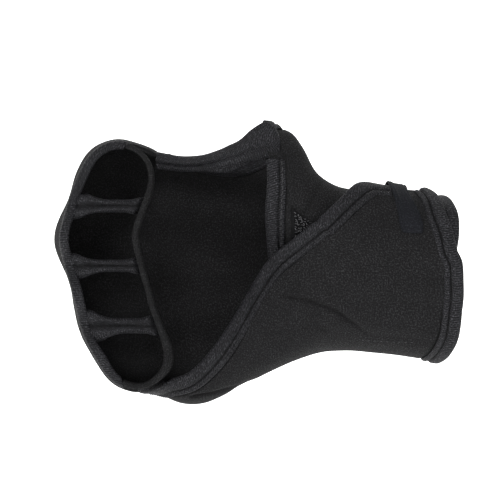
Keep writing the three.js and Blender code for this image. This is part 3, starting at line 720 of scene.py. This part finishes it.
# Edge tapes. Every free edge is bound with a black stretch tape that is folded round it and sewn down
# with one row of stitches: a round ribbed band, a groove where the thread pulls it in, and a ridge.
# The tape's outer and inner side, as (reach into the panel, height over the cloth's middle) rows.
TOP = [(-1.15, 0.0), (-1.05, 0.62), (-0.75, 1.12), (-0.2, 1.45), (0.7, 1.62), (1.8, 1.66), (2.6, 1.55),
       (3.05, 1.2), (3.35, 0.96), (3.65, 1.16), (4.1, 1.4), (4.9, 1.42), (5.4, 1.18), (5.65, 0.86)]
UNDER = [(-1.15, 0.0), (-1.05, -0.6), (-0.75, -1.05), (-0.2, -1.3), (0.7, -1.4), (2.4, -1.38),
         (4.9, -1.25), (5.65, -0.9)]
GROOVE_AT, GROOVE_ROW_HIGH, RIDGE_ROW_AT, RIDGE_ROW_HIGH = 3.35, 1.05, 4.3, 1.44
REACHES = np.arange(-2.0, 7.0)
DIAGONAL_FROM, TAPE_STEP, TAPE_EVEN = 0.222, 0.43, 5
TAPE_THICK, TAPE_THIN, TAPE_END = 0.4, 0.06, 5.55
RIDGE_LINES, RIDGE_LINE_HIGH = (4.15, 4.85), 1.42
tape_knit = knit_material(
    "tape_knit", (0.0034, 0.0034, 0.004), (0.054, 0.054, 0.06), 0.72, 0.5, 0.13, 0.8, rib=0.85
)
pale_thread = knit_material("pale_thread", (0.025, 0.025, 0.026), (0.08, 0.08, 0.084), 0.6, 0.3, 0.02)
fine_thread = knit_material("fine_thread", (0.012, 0.012, 0.013), (0.055, 0.055, 0.06), 0.6, 0.3, 0.02)
dark_thread = knit_material("dark_thread", (0.003, 0.003, 0.003), (0.012, 0.012, 0.012), 0.8, 0.3, 0.02)


def edge_places(edge, k, side):
    """Places at the REACHES, in millimetres into the panel, along an edge. Each is one step on from
    the last: the cross product of the surface's normal and the edge's direction, worked out anew in
    the surface's own coordinates at every step."""
    at, around = edge(k)
    ahead, behind = (wall_point(*edge(np.clip(k + d, 0, 1)), MID) for d in (0.002, -0.002))
    along = unit(ahead - behind)

    def step(at, around, mm):
        """The place mm further in: the inward direction solved for the surface's two tangents."""
        p = wall_point(at, around, MID)
        a = (wall_point(at + 0.2, around, MID) - p) / 0.2
        b = (wall_point(at, around + 0.01, MID) - p) / 0.01
        inward = unit(np.cross(unit(np.cross(a, b)), along) * side)
        aa, bb, ab = ((u * v).sum(-1) for u, v in ((a, a), (b, b), (a, b)))
        ia, ib = (a * inward).sum(-1), (b * inward).sum(-1)
        det = aa * bb - ab ** 2
        return at + mm * (ia * bb - ib * ab) / det, around + mm * (ib * aa - ia * ab) / det

    places = {0: (at, around)}
    for way, last in ((-1, 2), (1, 6)):
        for number in range(last):
            places[way * (number + 1)] = step(*places[way * number], way)
    order = [places[int(reach)] for reach in REACHES]
    return np.stack([o[0] for o in order], 1), np.stack([o[1] for o in order], 1)


def smoothed(values, width):
    """A running mean over 2 width + 1 values, with the end values repeated beyond the ends."""
    padded = np.pad(values, width, mode="edge")
    return np.convolve(padded, np.full(2 * width + 1, 1 / (2 * width + 1)), mode="valid")


def edge_tape(name, node, edge, side, rise, seed, thread, span=(0, 1)):
    """A folded tape: the profile TOP and UNDER carried along the edge at each TAPE_STEP, with the
    inner face set in by the tape's thickness. Dark stitches lie in its groove, pale ones on its
    ridge. The places along the two most bent edges are evened by a running mean."""
    rough = edge_line(lambda t: edge(mix(*span, t)))
    k = mix(*span, np.linspace(0, 1, int(run_along(rough)[-1] / TAPE_STEP) + 2))
    at, around = edge_places(edge, k, side)
    if name in ("diagonal_tape", "thumb_hole_tape"):
        at, around = (np.stack([smoothed(v, TAPE_EVEN) for v in grid.T], 1) for grid in (at, around))
    profile = np.array(TOP[::-1] + UNDER[1:], float)
    fine = np.linspace(0, len(profile) - 1, 3 * (len(profile) - 1) + 1)
    order = list(enumerate(profile[:, 0])), list(enumerate(profile[:, 1]))
    reach, height = through(order[0], fine), through(order[1], fine)
    slope = unit(np.stack([np.gradient(reach), np.gradient(height)], -1))
    set_in = TAPE_THICK * fade(fine, 0, 2) * (1 - fade(fine, len(profile) - 3, len(profile) - 1))
    set_in = set_in + TAPE_THIN
    inner_reach, inner_height = reach - slope[:, 1] * set_in, height + slope[:, 0] * set_in

    def surface(reach, height, extra):
        """The points at each reach into the panel and each height over the cloth's middle."""
        low = np.clip(np.searchsorted(REACHES, reach, side="right") - 1, 0, len(REACHES) - 2)
        part = reach - REACHES[low]
        a, b = (mix(grid[:, low], grid[:, low + 1], part) for grid in (at, around))
        return wall_point(a, b, rise(a, b) + MID + height + extra)

    sway = ripple(surface(np.array([1.0]), np.array([0.0]), 0), seed, 14, 0.09)
    outer = surface(reach, height, sway * (height > 0))
    inner = surface(inner_reach, inner_height, sway * (height > 0))
    # Painted shade in the tape's groove, and a painted shadow where its inner end meets the cloth.
    groove = bell(reach - GROOVE_AT, 0.28) * (height > 0) + 0.5 * (reach > TAPE_END)
    tape = sheet_piece(name, outer, inner, tape_knit, np.clip(groove, 0, 1) + 0 * outer[..., 0])
    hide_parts(node)
    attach(tape, "root")
    where, high = RIDGE_ROW_AT, RIDGE_ROW_HIGH
    if thread == dark_thread:
        where, high = GROOVE_AT, GROOVE_ROW_HIGH
    row, above = (surface(np.array([where]), np.array([high + more]), 0)[:, 0] for more in (0, 1))
    stitch_row(name + "_stitches", row, above - row, thread)
    if name == "diagonal_tape":
        for number, across in enumerate(RIDGE_LINES):
            ridge = surface(np.array([across]), np.array([RIDGE_LINE_HIGH]), 0)[2 * number:, 0]
            up = (above - row)[2 * number:]
            stitch_row(name + "_ridge_stitches_" + str(number), ridge, up, fine_thread, 1.25, 0.75, 0.42)


def tube_faces(ids):
    """Quads between neighbouring rings of point numbers, closed round each ring."""
    near, far = ids[..., :-1, :], ids[..., 1:, :]
    return np.stack([near, far, np.roll(far, -1, -1), np.roll(near, -1, -1)], -1).reshape(-1, 4)


STITCH_ARCH, STITCH_SINK = 0.16, 0.06


def stitch_row(name, line, up, thread, pitch=2.1, size=1.45, wide=0.36):
    """Stitches along a line: each is a small spindle, a ring of six points swept by a sine from one
    needle hole to the next, that dips into the cloth at both ends."""
    along = run_along(line)
    starts = np.arange(0.4, along[-1] - size, pitch)
    t = np.linspace(0, 1, 9)
    places = starts[:, None] + size * t
    centre = np.stack([np.interp(places, along, line[:, i]) for i in range(3)], -1)
    rise = unit(np.stack([np.interp(places, along, up[:, i]) for i in range(3)], -1))
    over = np.cross(unit(np.gradient(centre, axis=1)), rise)
    arch = np.sin(np.pi * t)[None, :, None]
    centre = centre + rise * (STITCH_ARCH * arch - STITCH_SINK)
    turn = np.linspace(0, 2 * np.pi, 7)[:-1]
    thick = wide / 2 * (0.35 + 0.65 * arch ** 0.5)[..., None]
    ring = np.cos(turn)[:, None] * over[:, :, None] + np.sin(turn)[:, None] * rise[:, :, None]
    points = centre[:, :, None] + ring * thick
    count, n, m = points.shape[:3]
    ids = np.arange(count * n * m).reshape(count, n, m)
    caps = [ids[:, 0][:, [0, 1, 2, 3]], ids[:, 0][:, [0, 3, 4, 5]]]
    caps += [ids[:, -1][:, [3, 2, 1, 0]], ids[:, -1][:, [5, 4, 3, 0]]]
    faces = np.concatenate([tube_faces(ids), *caps])
    uv = np.stack(np.broadcast_arrays(3 * np.repeat(turn[None, None], n, 1) / np.pi, places[..., None]), -1)
    row = piece_mesh(name, points, faces, uv, thread)
    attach(row, "root")


edge_tape("palm_edge_tape", "palm_binding", palm_edge, 1, flat_rise, 21, pale_thread)
edge_tape("thumb_hole_tape", "thumb_binding", thumb_hole_edge, 1, under_rise, 22, pale_thread)
# The diagonal tape starts under the closure tab.
edge_tape(
    "diagonal_tape", "wrap_binding", wrap_free_edge, -1, wrap_rise, 23, dark_thread, (DIAGONAL_FROM, 1)
)
edge_tape("cuff_tape", "cuff_binding", wrap_wrist_edge, -1, wrap_rise, 24, dark_thread)
edge_tape("back_cuff_tape", "back_cuff_binding", back_wrist_edge, -1, under_rise, 25, pale_thread)
edge_tape("thumb_cuff_tape", "thumb_cuff_binding", thumb_wrist_edge, -1, under_rise, 26, pale_thread)

# Stitches on the wrap. A short row of the pale thread shows under the wrap's crease; it is laid on
# the relief of the cloth, point by point.
ROW_FROM, ROW_TO, ROW_Z, ROW_DROP = -35.5, -17.0, -24.2, 0.7
row_x = np.linspace(ROW_FROM, ROW_TO, 40)
row_z = ROW_Z - ROW_DROP * (row_x - ROW_FROM) / (ROW_TO - ROW_FROM)
row_places = np.array([palm_place(x, z, MID + 1.8) for x, z in zip(row_x, row_z)])
row_at, row_around = row_places.T
row_high = CLOTH + wrap_rise(row_at, row_around)
row_wall = wall_point(row_at, row_around, row_high)
row_high = row_high + wrap_relief(row_wall, row_at, row_around)[0]
row_wall = wall_point(row_at, row_around, row_high)
row_up = wall_point(row_at, row_around, row_high + 1) - row_wall
stitch_row("wrap_stitches", row_wall, row_up, pale_thread, 2.1, 0.8, 0.26)

# Rims of the four finger holes. The same folded tape, in one length for each hole, from one web to
# the next; the first and last go on round the sides.
back_turns = np.concatenate([
    np.linspace(BACK_FROM, 0, 7), np.linspace(0, 1, 19)[1:], np.linspace(1, BACK_TO, 6)[1:],
])
back_shares = (back_turns - BACK_FROM) / (BACK_TO - BACK_FROM)
# Each rim's name, and the numbers of its first and last turn in back_turns.
RIMS = [("index", 0, 9), ("middle", 9, 15), ("ring", 15, 21), ("little", 21, 29)]
for number, (finger, first, last) in enumerate(RIMS):
    between = (back_shares[first] + 0.001, back_shares[last] - 0.001)
    name, node = finger + "_hole_tape", finger + "_rim"
    edge_tape(name, node, finger_edge, 1, flat_rise, 30 + number, pale_thread, between)

# Palm band. The strip of cloth across the palm side of the four finger holes, turned in and sewn at
# both edges.
BAND_AT, BAND_WIDTH, BAND_GAP = 150.0, 7.5, 0.015
BAND_HEMS = (("near", 0.18), ("far", 0.82))
band_turns = np.linspace(BACK_TO + BAND_GAP, BACK_FROM + 4 - BAND_GAP, 260)
band_across = spread(40, 0.6)


def band_grid(height):
    """The band at a height over the form: the wall's line at BAND_AT, evened out by two running
    means where it crosses the palm's middle, and moved across the band's width."""
    wall = wall_point(BAND_AT, band_turns, height)
    even = np.stack([smoothed(smoothed(wall[:, i], 14), 14) for i in range(3)], -1)
    wall = mix(wall, even, (fade(band_turns, 1.72, 1.85) * (1 - fade(band_turns, 2.2, 2.32)))[:, None])
    shift = np.array([0, BAND_WIDTH, 0])
    return wall[None] + band_across[:, None, None] * shift


hem = sum(bell(band_across - where, 0.05) for _, where in BAND_HEMS)
band_outer = band_grid(CLOTH)
band_inner = band_grid(0.0)
band_out = unit(band_outer - band_inner)
band_outer = band_outer - band_out * (0.3 * hem[:, None, None])
band_inner = band_inner + band_out * (0.2 * hem[:, None, None])
palm_band = sheet_piece("palm_band_cloth", band_outer, band_inner, knit)
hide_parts("palm_band")
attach(palm_band, "root")
for edge_name, where in BAND_HEMS:
    row = int(np.abs(band_across - where).argmin())
    stitch_row("palm_band_stitches_" + edge_name, band_outer[row], band_out[row], pale_thread)

# Webs between the finger holes. Each is a strip of the ribbed tape, doubled and sewn together along
# its middle, from the back's edge to the palm band; it sags into the glove.
# Each web's name, turn on the back and width.
WEBS = [("index", 1 / 6, 5.0), ("middle", 1 / 2, 4.8), ("ring", 5 / 6, 6.0)]
WEB_DEPTH, WEB_SAG = 8.0, 3.0
HOLES_BREADTH = 61.5
ACROSS_GLOVE = np.array([0, 0, 1.0])


def tube_piece(name, rings, material):
    """A closed mesh through rings of points; each end is closed by three rings that shrink on to
    its middle and stand out by 1 - s squared, where s is their size."""
    m = rings.shape[1]
    ends = []
    for ring, beside_ring in ((rings[0], rings[1]), (rings[-1], rings[-2])):
        middle = ring.mean(0)
        way = unit(middle - beside_ring.mean(0))
        size = np.linalg.norm(ring - middle, axis=1).min()
        ends.append([
            middle + (ring - middle) * s + way * size * 0.4 * (1 - s * s) for s in (0.8, 0.45, 0.02)
        ])
    rings = np.concatenate([ends[0][::-1], rings, ends[1]])
    ids = np.arange(len(rings) * m).reshape(-1, m)
    cap = np.arange(m // 2 - 1)
    faces = [tube_faces(ids)]
    for ring, turned in ((ids[0], False), (ids[-1], True)):
        quad = np.stack([ring[cap], ring[cap + 1], ring[m - 2 - cap], ring[m - 1 - cap]], 1)
        faces.append(quad[:, ::-1] if turned else quad)
    return piece_mesh(name, rings, np.concatenate(faces), lengths(rings), material)


for finger, across, width in WEBS:
    turn = np.linspace(0, 2 * np.pi, 41)[:-1]
    u = 0.5 * np.sign(np.cos(turn)) * np.abs(np.cos(turn)) ** 0.8
    v = 0.5 * np.sign(np.sin(turn)) * np.abs(np.sin(turn)) ** 0.75
    near = across - u * 1.9 * width / HOLES_BREADTH
    start = wall_point(HOLE_END - hole_cut(near), near, 0.1)
    far = across - u * 1.2 * width / HOLES_BREADTH
    stop = wall_point(BAND_AT, 3 - far, -0.4) + np.array([0, BAND_WIDTH / 2, 0])
    t = np.linspace(0, 1, 110)[:, None]
    rings = mix(start, stop, t[..., None])
    sag = WEB_SAG * np.sin(np.pi * t) + 3.0 * bell(t, 0.12)
    flare = 0.88 + 1.0 * (1 - fade(t, 0, 0.55)) ** 2 + 0.3 * fade(t, 0.75, 1) ** 2
    middle = mix(start[:, 2].mean(), stop[:, 2].mean(), t)
    rings[..., 1] += sag
    rings[..., 2] = middle + u * width * flare
    way = np.gradient(rings.mean(1), axis=0)
    deep = unit(np.cross(way, ACROSS_GLOVE))
    gather = 1 + 0.05 * np.sin(2 * np.pi * (u * 7 + 0.6 * np.sin(9 * t))) * bell(t - 0.1, 0.25)
    seam = gather * (1 - 0.3 * bell(np.cos(turn), 0.16))
    rings = rings + deep[:, None] * (v * WEB_DEPTH * seam)[..., None]
    web = tube_piece(finger + "_web_strip", rings, tape_knit)
    # Painted shade along the seam down the middle of each web.
    groove = 0.8 * bell(np.cos(turn), 0.14)
    paint_shade(web, np.tile(groove, len(web.data.vertices) // len(turn)))
    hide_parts(finger + "_web")
    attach(web, "root")

# Thumb web. The rolled strip between the palm opening and the thumb hole, from the point of the thumb
# panel to the first finger hole. The same ribbed tape, rolled so that a ridge runs along it.
# (x, y, z, width) rows along the strip.
THUMB_WEB = [
    (-64.6, -20.4, 43.9, 6.4), (-66.4, -20.9, 44.5, 11.2), (-69.3, -21.6, 44.7, 12.9),
    (-73.8, -23.8, 43.2, 10.4), (-77.6, -24.6, 41, 8), (-81, -23.8, 39.8, 7), (-84.5, -21.5, 38.6, 6.4),
    (-90.6, -16.8, 37.4, 5.6), (-98, -11.6, 37.4, 5.4), (-106, -8.8, 38.6, 6),
]
WEB_THICK, WEB_GROOVE = 4.0, -0.16
rows = np.array(THUMB_WEB, float)
order = np.arange(len(rows), dtype=float)
fine = np.linspace(0, len(rows) - 1, 170)
x, y, z, width = (through(np.stack([order, rows[:, i]], 1), fine) for i in range(4))
centre = np.stack([x, y, z], 1)
deep = unit(np.cross(unit(np.gradient(centre, axis=0)), ACROSS_GLOVE))
turn = np.linspace(0, 2 * np.pi, 65)[:-1]
u, v = 0.5 * np.sin(turn), 0.5 * np.cos(turn)
roll = 1 - 0.45 * bell(u - WEB_GROOVE, 0.06) + 0.15 * bell(u - 0.02, 0.1)
rings = centre[:, None] + ACROSS_GLOVE * (u * width[:, None])[..., None]
rings = rings + deep[:, None] * (v * roll * WEB_THICK)[None, :, None]
thumb_web = tube_piece("thumb_web_strip", rings, tape_knit)
# Painted shade in the groove beside the strip's ridge.
groove = 0.8 * bell(u - WEB_GROOVE, 0.045) * (v > 0)
paint_shade(thumb_web, np.tile(groove, len(thumb_web.data.vertices) // len(turn)))
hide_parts("thumb_web")
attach(thumb_web, "root")

# Hook patch. A patch of hook fastener, sewn on the thumb panel; the wrap's diagonal edge lies over it
# and leaves one corner open. Stiff black nylon with rows of small hooks.
hook_nylon = bpy.data.materials.new("hook_nylon")
hook_nylon.use_nodes = True
shader = hook_nylon.node_tree.nodes["Principled BSDF"]
shader.inputs["Base Color"].default_value = (0.0025, 0.0025, 0.0028, 1)
shader.inputs["Roughness"].default_value = 0.7
shader.inputs["Specular IOR Level"].default_value = 0.1
hook_shine = hook_nylon.copy()
hook_shine.name = "hook_shine"
shader = hook_shine.node_tree.nodes["Principled BSDF"]
shader.inputs["Base Color"].default_value = (0.02, 0.02, 0.022, 1)
shader.inputs["Roughness"].default_value = 0.16
shader.inputs["Specular IOR Level"].default_value = 0.7


PATCH_STATIONS, PATCH_TURNS, PATCH_THICK = (60, 42), (2.56, 2.95), 0.55
HOOK_FOOT, HOOK_CURL, HOOK_RADIUS, HOOK_SIZE = 0.45, 2.2, 0.55, 0.17


def patch_wall(s, t, height):
    """The patch's place on the thumb panel, at a height above its cloth."""
    return wall_point(mix(*PATCH_STATIONS, s), mix(*PATCH_TURNS, t), CLOTH + 0.1 + height)


s, t = np.meshgrid(spread(50, 0.3), spread(60, 0.3), indexing="ij")
patch = sheet_piece("hook_patch_base", patch_wall(s, t, PATCH_THICK), patch_wall(s, t, 0.0), hook_nylon)
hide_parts("hook_patch")
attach(patch, "root")
hook_s, hook_t = np.meshgrid(np.linspace(0.05, 0.95, 17), np.linspace(0.05, 0.95, 20), indexing="ij")
hook_dice = np.random.default_rng(41)
hook_s = hook_s.ravel() + hook_dice.uniform(-0.012, 0.012, hook_s.size)
hook_t = hook_t.ravel() + hook_dice.uniform(-0.01, 0.01, hook_t.size)
foot, tip = patch_wall(hook_s, hook_t, HOOK_FOOT), patch_wall(hook_s, hook_t, HOOK_FOOT + 1)
lean = unit(patch_wall(hook_s + 0.02, hook_t, HOOK_FOOT) - foot)
rise = (tip - foot) * hook_dice.uniform(0.6, 1.1, (len(foot), 1))
over = unit(np.cross(lean, rise))
swing = hook_dice.uniform(-0.9, 0.9, (len(foot), 1))
lean, over = lean * np.cos(swing) + over * np.sin(swing), over * np.cos(swing) - lean * np.sin(swing)
curl = np.linspace(0, 1, 7) * HOOK_CURL
spine = foot[:, None] + rise[:, None] * np.sin(curl)[None, :, None]
spine = spine + lean[:, None] * (HOOK_RADIUS * (1 - np.cos(curl)))[None, :, None]
corner_turn = np.linspace(0, 2 * np.pi, 5)[:-1]
ring = np.cos(corner_turn)[:, None] * lean[:, None, None] + np.sin(corner_turn)[:, None] * over[:, None, None]
hooks = spine[:, :, None] + ring * HOOK_SIZE
ids = np.arange(hooks[..., 0].size).reshape(hooks.shape[:3])
faces = np.concatenate([tube_faces(ids), ids[:, 0], ids[:, -1][:, ::-1]])
hook_rows = piece_mesh("hooks", hooks, faces, np.zeros(hooks.shape[:3] + (2,)), hook_shine)
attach(hook_rows, "root")

# Closure tab. A smooth brushed tab, sewn to the back at the wrist, which comes over the thumb side and
# presses on to the wrap.
tab_cloth = knit_material("tab_cloth", (0.0052, 0.0056, 0.0072), (0.016, 0.0175, 0.022), 0.9, 0.4, 0.03)


TAB_TURNS, TAB_ROUND = (3.08, 3.92), 0.08


def tab_wall(s, t, height):
    """The tab's place: s goes across its width and t along its length. Its free end is rounded off
    by a quarter circle, and its far side is lifted over the end of the diagonal tape."""
    around = mix(*TAB_TURNS, t)
    low, high = mix(15, 19.8, fade(t, 0, 0.36)), mix(23.2, 26.8, fade(t, 0, 0.5))
    corner = np.sqrt(np.clip(1 - (np.clip(TAB_ROUND - t, 0, 1) / TAB_ROUND) ** 2, 0, 1))
    at = mix(mix(low, high, 0.5), mix(low, high, s), mix(0.7, 1, corner))
    lift = 0.6 * fade(s, 0.6, 0.9) * fade(around, 3.2, 3.28) * (1 - fade(around, 3.42, 3.5))
    base = CLOTH + 0.1 + LAP_LIFT * (1 - fade(around, 3.4, 3.66)) + lift
    return wall_point(at, around, base + height)


s, t = np.meshgrid(spread(60, 0.4), spread(150, 0.2), indexing="ij")
edge_d = np.minimum(np.minimum(s, 1 - s) * 10, t * 42)
puff = 0.8 - 0.25 * bell(edge_d - 1.3, 0.4) - 0.4 * bell(edge_d, 0.5)
tab = sheet_piece("closure_tab_cloth", tab_wall(s, t, puff), tab_wall(s, t, 0.0), tab_cloth)
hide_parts("closure_tab")
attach(tab, "root")

# Weight pouch. A padded pouch of the same knit on the back, filled with fine weight grain in three
# lengthwise channels and sewn down all round. Its swell is worked out as blown-up cloth.
POUCH_CHANNELS, POUCH_LIFT, POUCH_SEAM, POUCH_FILL = 3, 0.7, 2.0, 5.0
POUCH_STATIONS, POUCH_NEAR, POUCH_FAR = (30, 102), (-0.3, 0.06), (1.28, 1.04)
SWELL_SCALE, SWELL_CAP, SWELL_EASE = 8.0, 2.6, 3.5
SWELL_VOXEL, SWELL_PRESSURE, SWELL_FRAMES, FOOT = 0.0035, 1.5, 20, 0.8


def pouch_wall(s, t, height):
    """The pouch's place on the back, at a height above its cloth: s goes from the wrist to the
    knuckles, and t from the thumb side to the outer side."""
    around = mix(mix(*POUCH_NEAR, s), mix(*POUCH_FAR, s), t)
    return wall_point(mix(*POUCH_STATIONS, s), around, CLOTH + height)


def pouch_swell(s, t, plain):
    """How far the cloth of the plain pad swells out at each place: a cloth simulation of the pad,
    eight times as large, under inner pressure, read off where each place's normal meets it; the
    reading s becomes SWELL_CAP (1 - exp(-s / SWELL_EASE))."""
    pad = sheet_piece("pad", pouch_wall(s, t, plain), pouch_wall(s, t, 0.2), knit)
    pad.scale = (SWELL_SCALE,) * 3
    voxels = pad.modifiers.new("voxels", "REMESH")
    voxels.mode = "VOXEL"
    voxels.voxel_size = SWELL_VOXEL
    cloth = pad.modifiers.new("cloth", "CLOTH").settings
    cloth.use_pressure = True
    cloth.uniform_pressure_force = SWELL_PRESSURE
    cloth.effector_weights.gravity = 0.0
    scene = bpy.context.scene
    for number in range(SWELL_FRAMES):
        scene.frame_set(number + 1)
    blown = pad.evaluated_get(bpy.context.evaluated_depsgraph_get())
    tree = BVHTree.FromObject(blown, bpy.context.evaluated_depsgraph_get())
    foot, top = pouch_wall(s, t, FOOT), pouch_wall(s, t, FOOT + 1)
    way = unit(top - foot)
    swell = np.zeros(s.shape)
    for place in np.ndindex(s.shape):
        origin = Vector(foot[place] / 1000)
        hit = tree.ray_cast(origin, Vector(way[place]), 0.02)[3]
        swell[place] = 1000 * hit + FOOT - plain if hit else 0.0
    scene.frame_set(1)
    bpy.data.objects.remove(pad, do_unlink=True)
    return SWELL_CAP * (1 - np.exp(-np.maximum(swell, 0) / SWELL_EASE))


s, t = np.meshgrid(spread(130, 0.5), spread(135, 0.2), indexing="ij")
crown = np.abs(np.sin(np.pi * t * POUCH_CHANNELS)) ** 0.8 * (1 - (2 * s - 1) ** 6)
swell = SWELL_CAP / 2 + 0 * s
coarse_s, coarse_t = np.meshgrid(np.linspace(0, 1, 44), np.linspace(0, 1, 44), indexing="ij")
coarse = pouch_swell(coarse_s, coarse_t, POUCH_LIFT + POUCH_SEAM + 0.5 * POUCH_FILL)
rows = np.stack([np.interp(t[0], coarse_t[0], row) for row in coarse])
swell = np.stack([np.interp(s[:, 0], coarse_s[:, 0], column) for column in rows.T], 1)
high = POUCH_LIFT + POUCH_SEAM + (POUCH_FILL - 0.5 * SWELL_CAP + swell) * crown
# Painted shade along the seams between the pouch's channels.
line = bell(np.sin(np.pi * t * POUCH_CHANNELS), 0.06)
pouch = sheet_piece("pouch", pouch_wall(s, t, high), pouch_wall(s, t, 0.15), knit, 0.8 * line)
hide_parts("weight_pouch")
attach(pouch, "root")

# Floor and backdrop. One white sweep of paper, well below the glove, that runs under it and curves up
# behind it. It glows, so that it is even and white.
FLOOR_DROP, SWEEP_HALF_WIDTH, SWEEP_TOP = 88, 2500, 2200
SWEEP_FRONT, SWEEP_BACK, SWEEP_RADIUS = -1500, 500, 400
quarter = np.linspace(0, np.pi / 2, 20)
sweep_y = np.concatenate([
    np.linspace(SWEEP_FRONT, SWEEP_BACK, 30), SWEEP_BACK + SWEEP_RADIUS * np.sin(quarter)[1:],
    [SWEEP_BACK + SWEEP_RADIUS],
])
sweep_z = np.concatenate([np.zeros(30), SWEEP_RADIUS * (1 - np.cos(quarter))[1:], [SWEEP_TOP]])
sweep_x = np.linspace(-SWEEP_HALF_WIDTH, SWEEP_HALF_WIDTH, 20)
sweep = np.stack(np.broadcast_arrays(sweep_x[:, None], sweep_y, sweep_z - FLOOR_DROP), -1)
ids = np.arange(sweep[..., 0].size).reshape(sweep.shape[:2])
faces = np.stack([ids[:-1, :-1], ids[1:, :-1], ids[1:, 1:], ids[:-1, 1:]], -1)
paper = bpy.data.materials.new("paper")
paper.use_nodes = True
shader = paper.node_tree.nodes["Principled BSDF"]
shader.inputs["Base Color"].default_value = (0.92, 0.92, 0.92, 1)
shader.inputs["Roughness"].default_value = 1.0
shader.inputs["Emission Color"].default_value = (1, 1, 1, 1)
shader.inputs["Emission Strength"].default_value = 0.88
backdrop = piece_mesh("backdrop", sweep, faces, np.zeros(sweep.shape[:2] + (2,)), paper)

# Light. A softbox above and to the left of the camera, a weak one at the right, one above and behind
# the glove, and a dim even surround. Places and sizes are in millimetres.
world = bpy.data.worlds.new("surround")
world.use_nodes = True
world.node_tree.nodes["Background"].inputs["Color"].default_value = (1, 1, 1, 1)
world.node_tree.nodes["Background"].inputs["Strength"].default_value = 0.14
bpy.context.scene.world = world
# Each lamp's name, place, size and power in watts.
LAMPS = [
    ("key", (-260, -700, 560), 300, 8.2),
    ("fill", (450, -700, 150), 500, 1),
    ("back_light", (-100, 500, 700), 600, 1.5),
]
LIT_PLACE = Vector((-0.07, 0, 0))
for name, place, size, power in LAMPS:
    lamp = bpy.data.lights.new(name, "AREA")
    lamp.size = size / 1000
    lamp.energy = power
    lamp_object = bpy.data.objects.new(name, lamp)
    lamp_object.location = np.array(place) / 1000
    lamp_object.rotation_euler = (LIT_PLACE - lamp_object.location).to_track_quat("-Z", "Y").to_euler()
    bpy.context.scene.collection.objects.link(lamp_object)
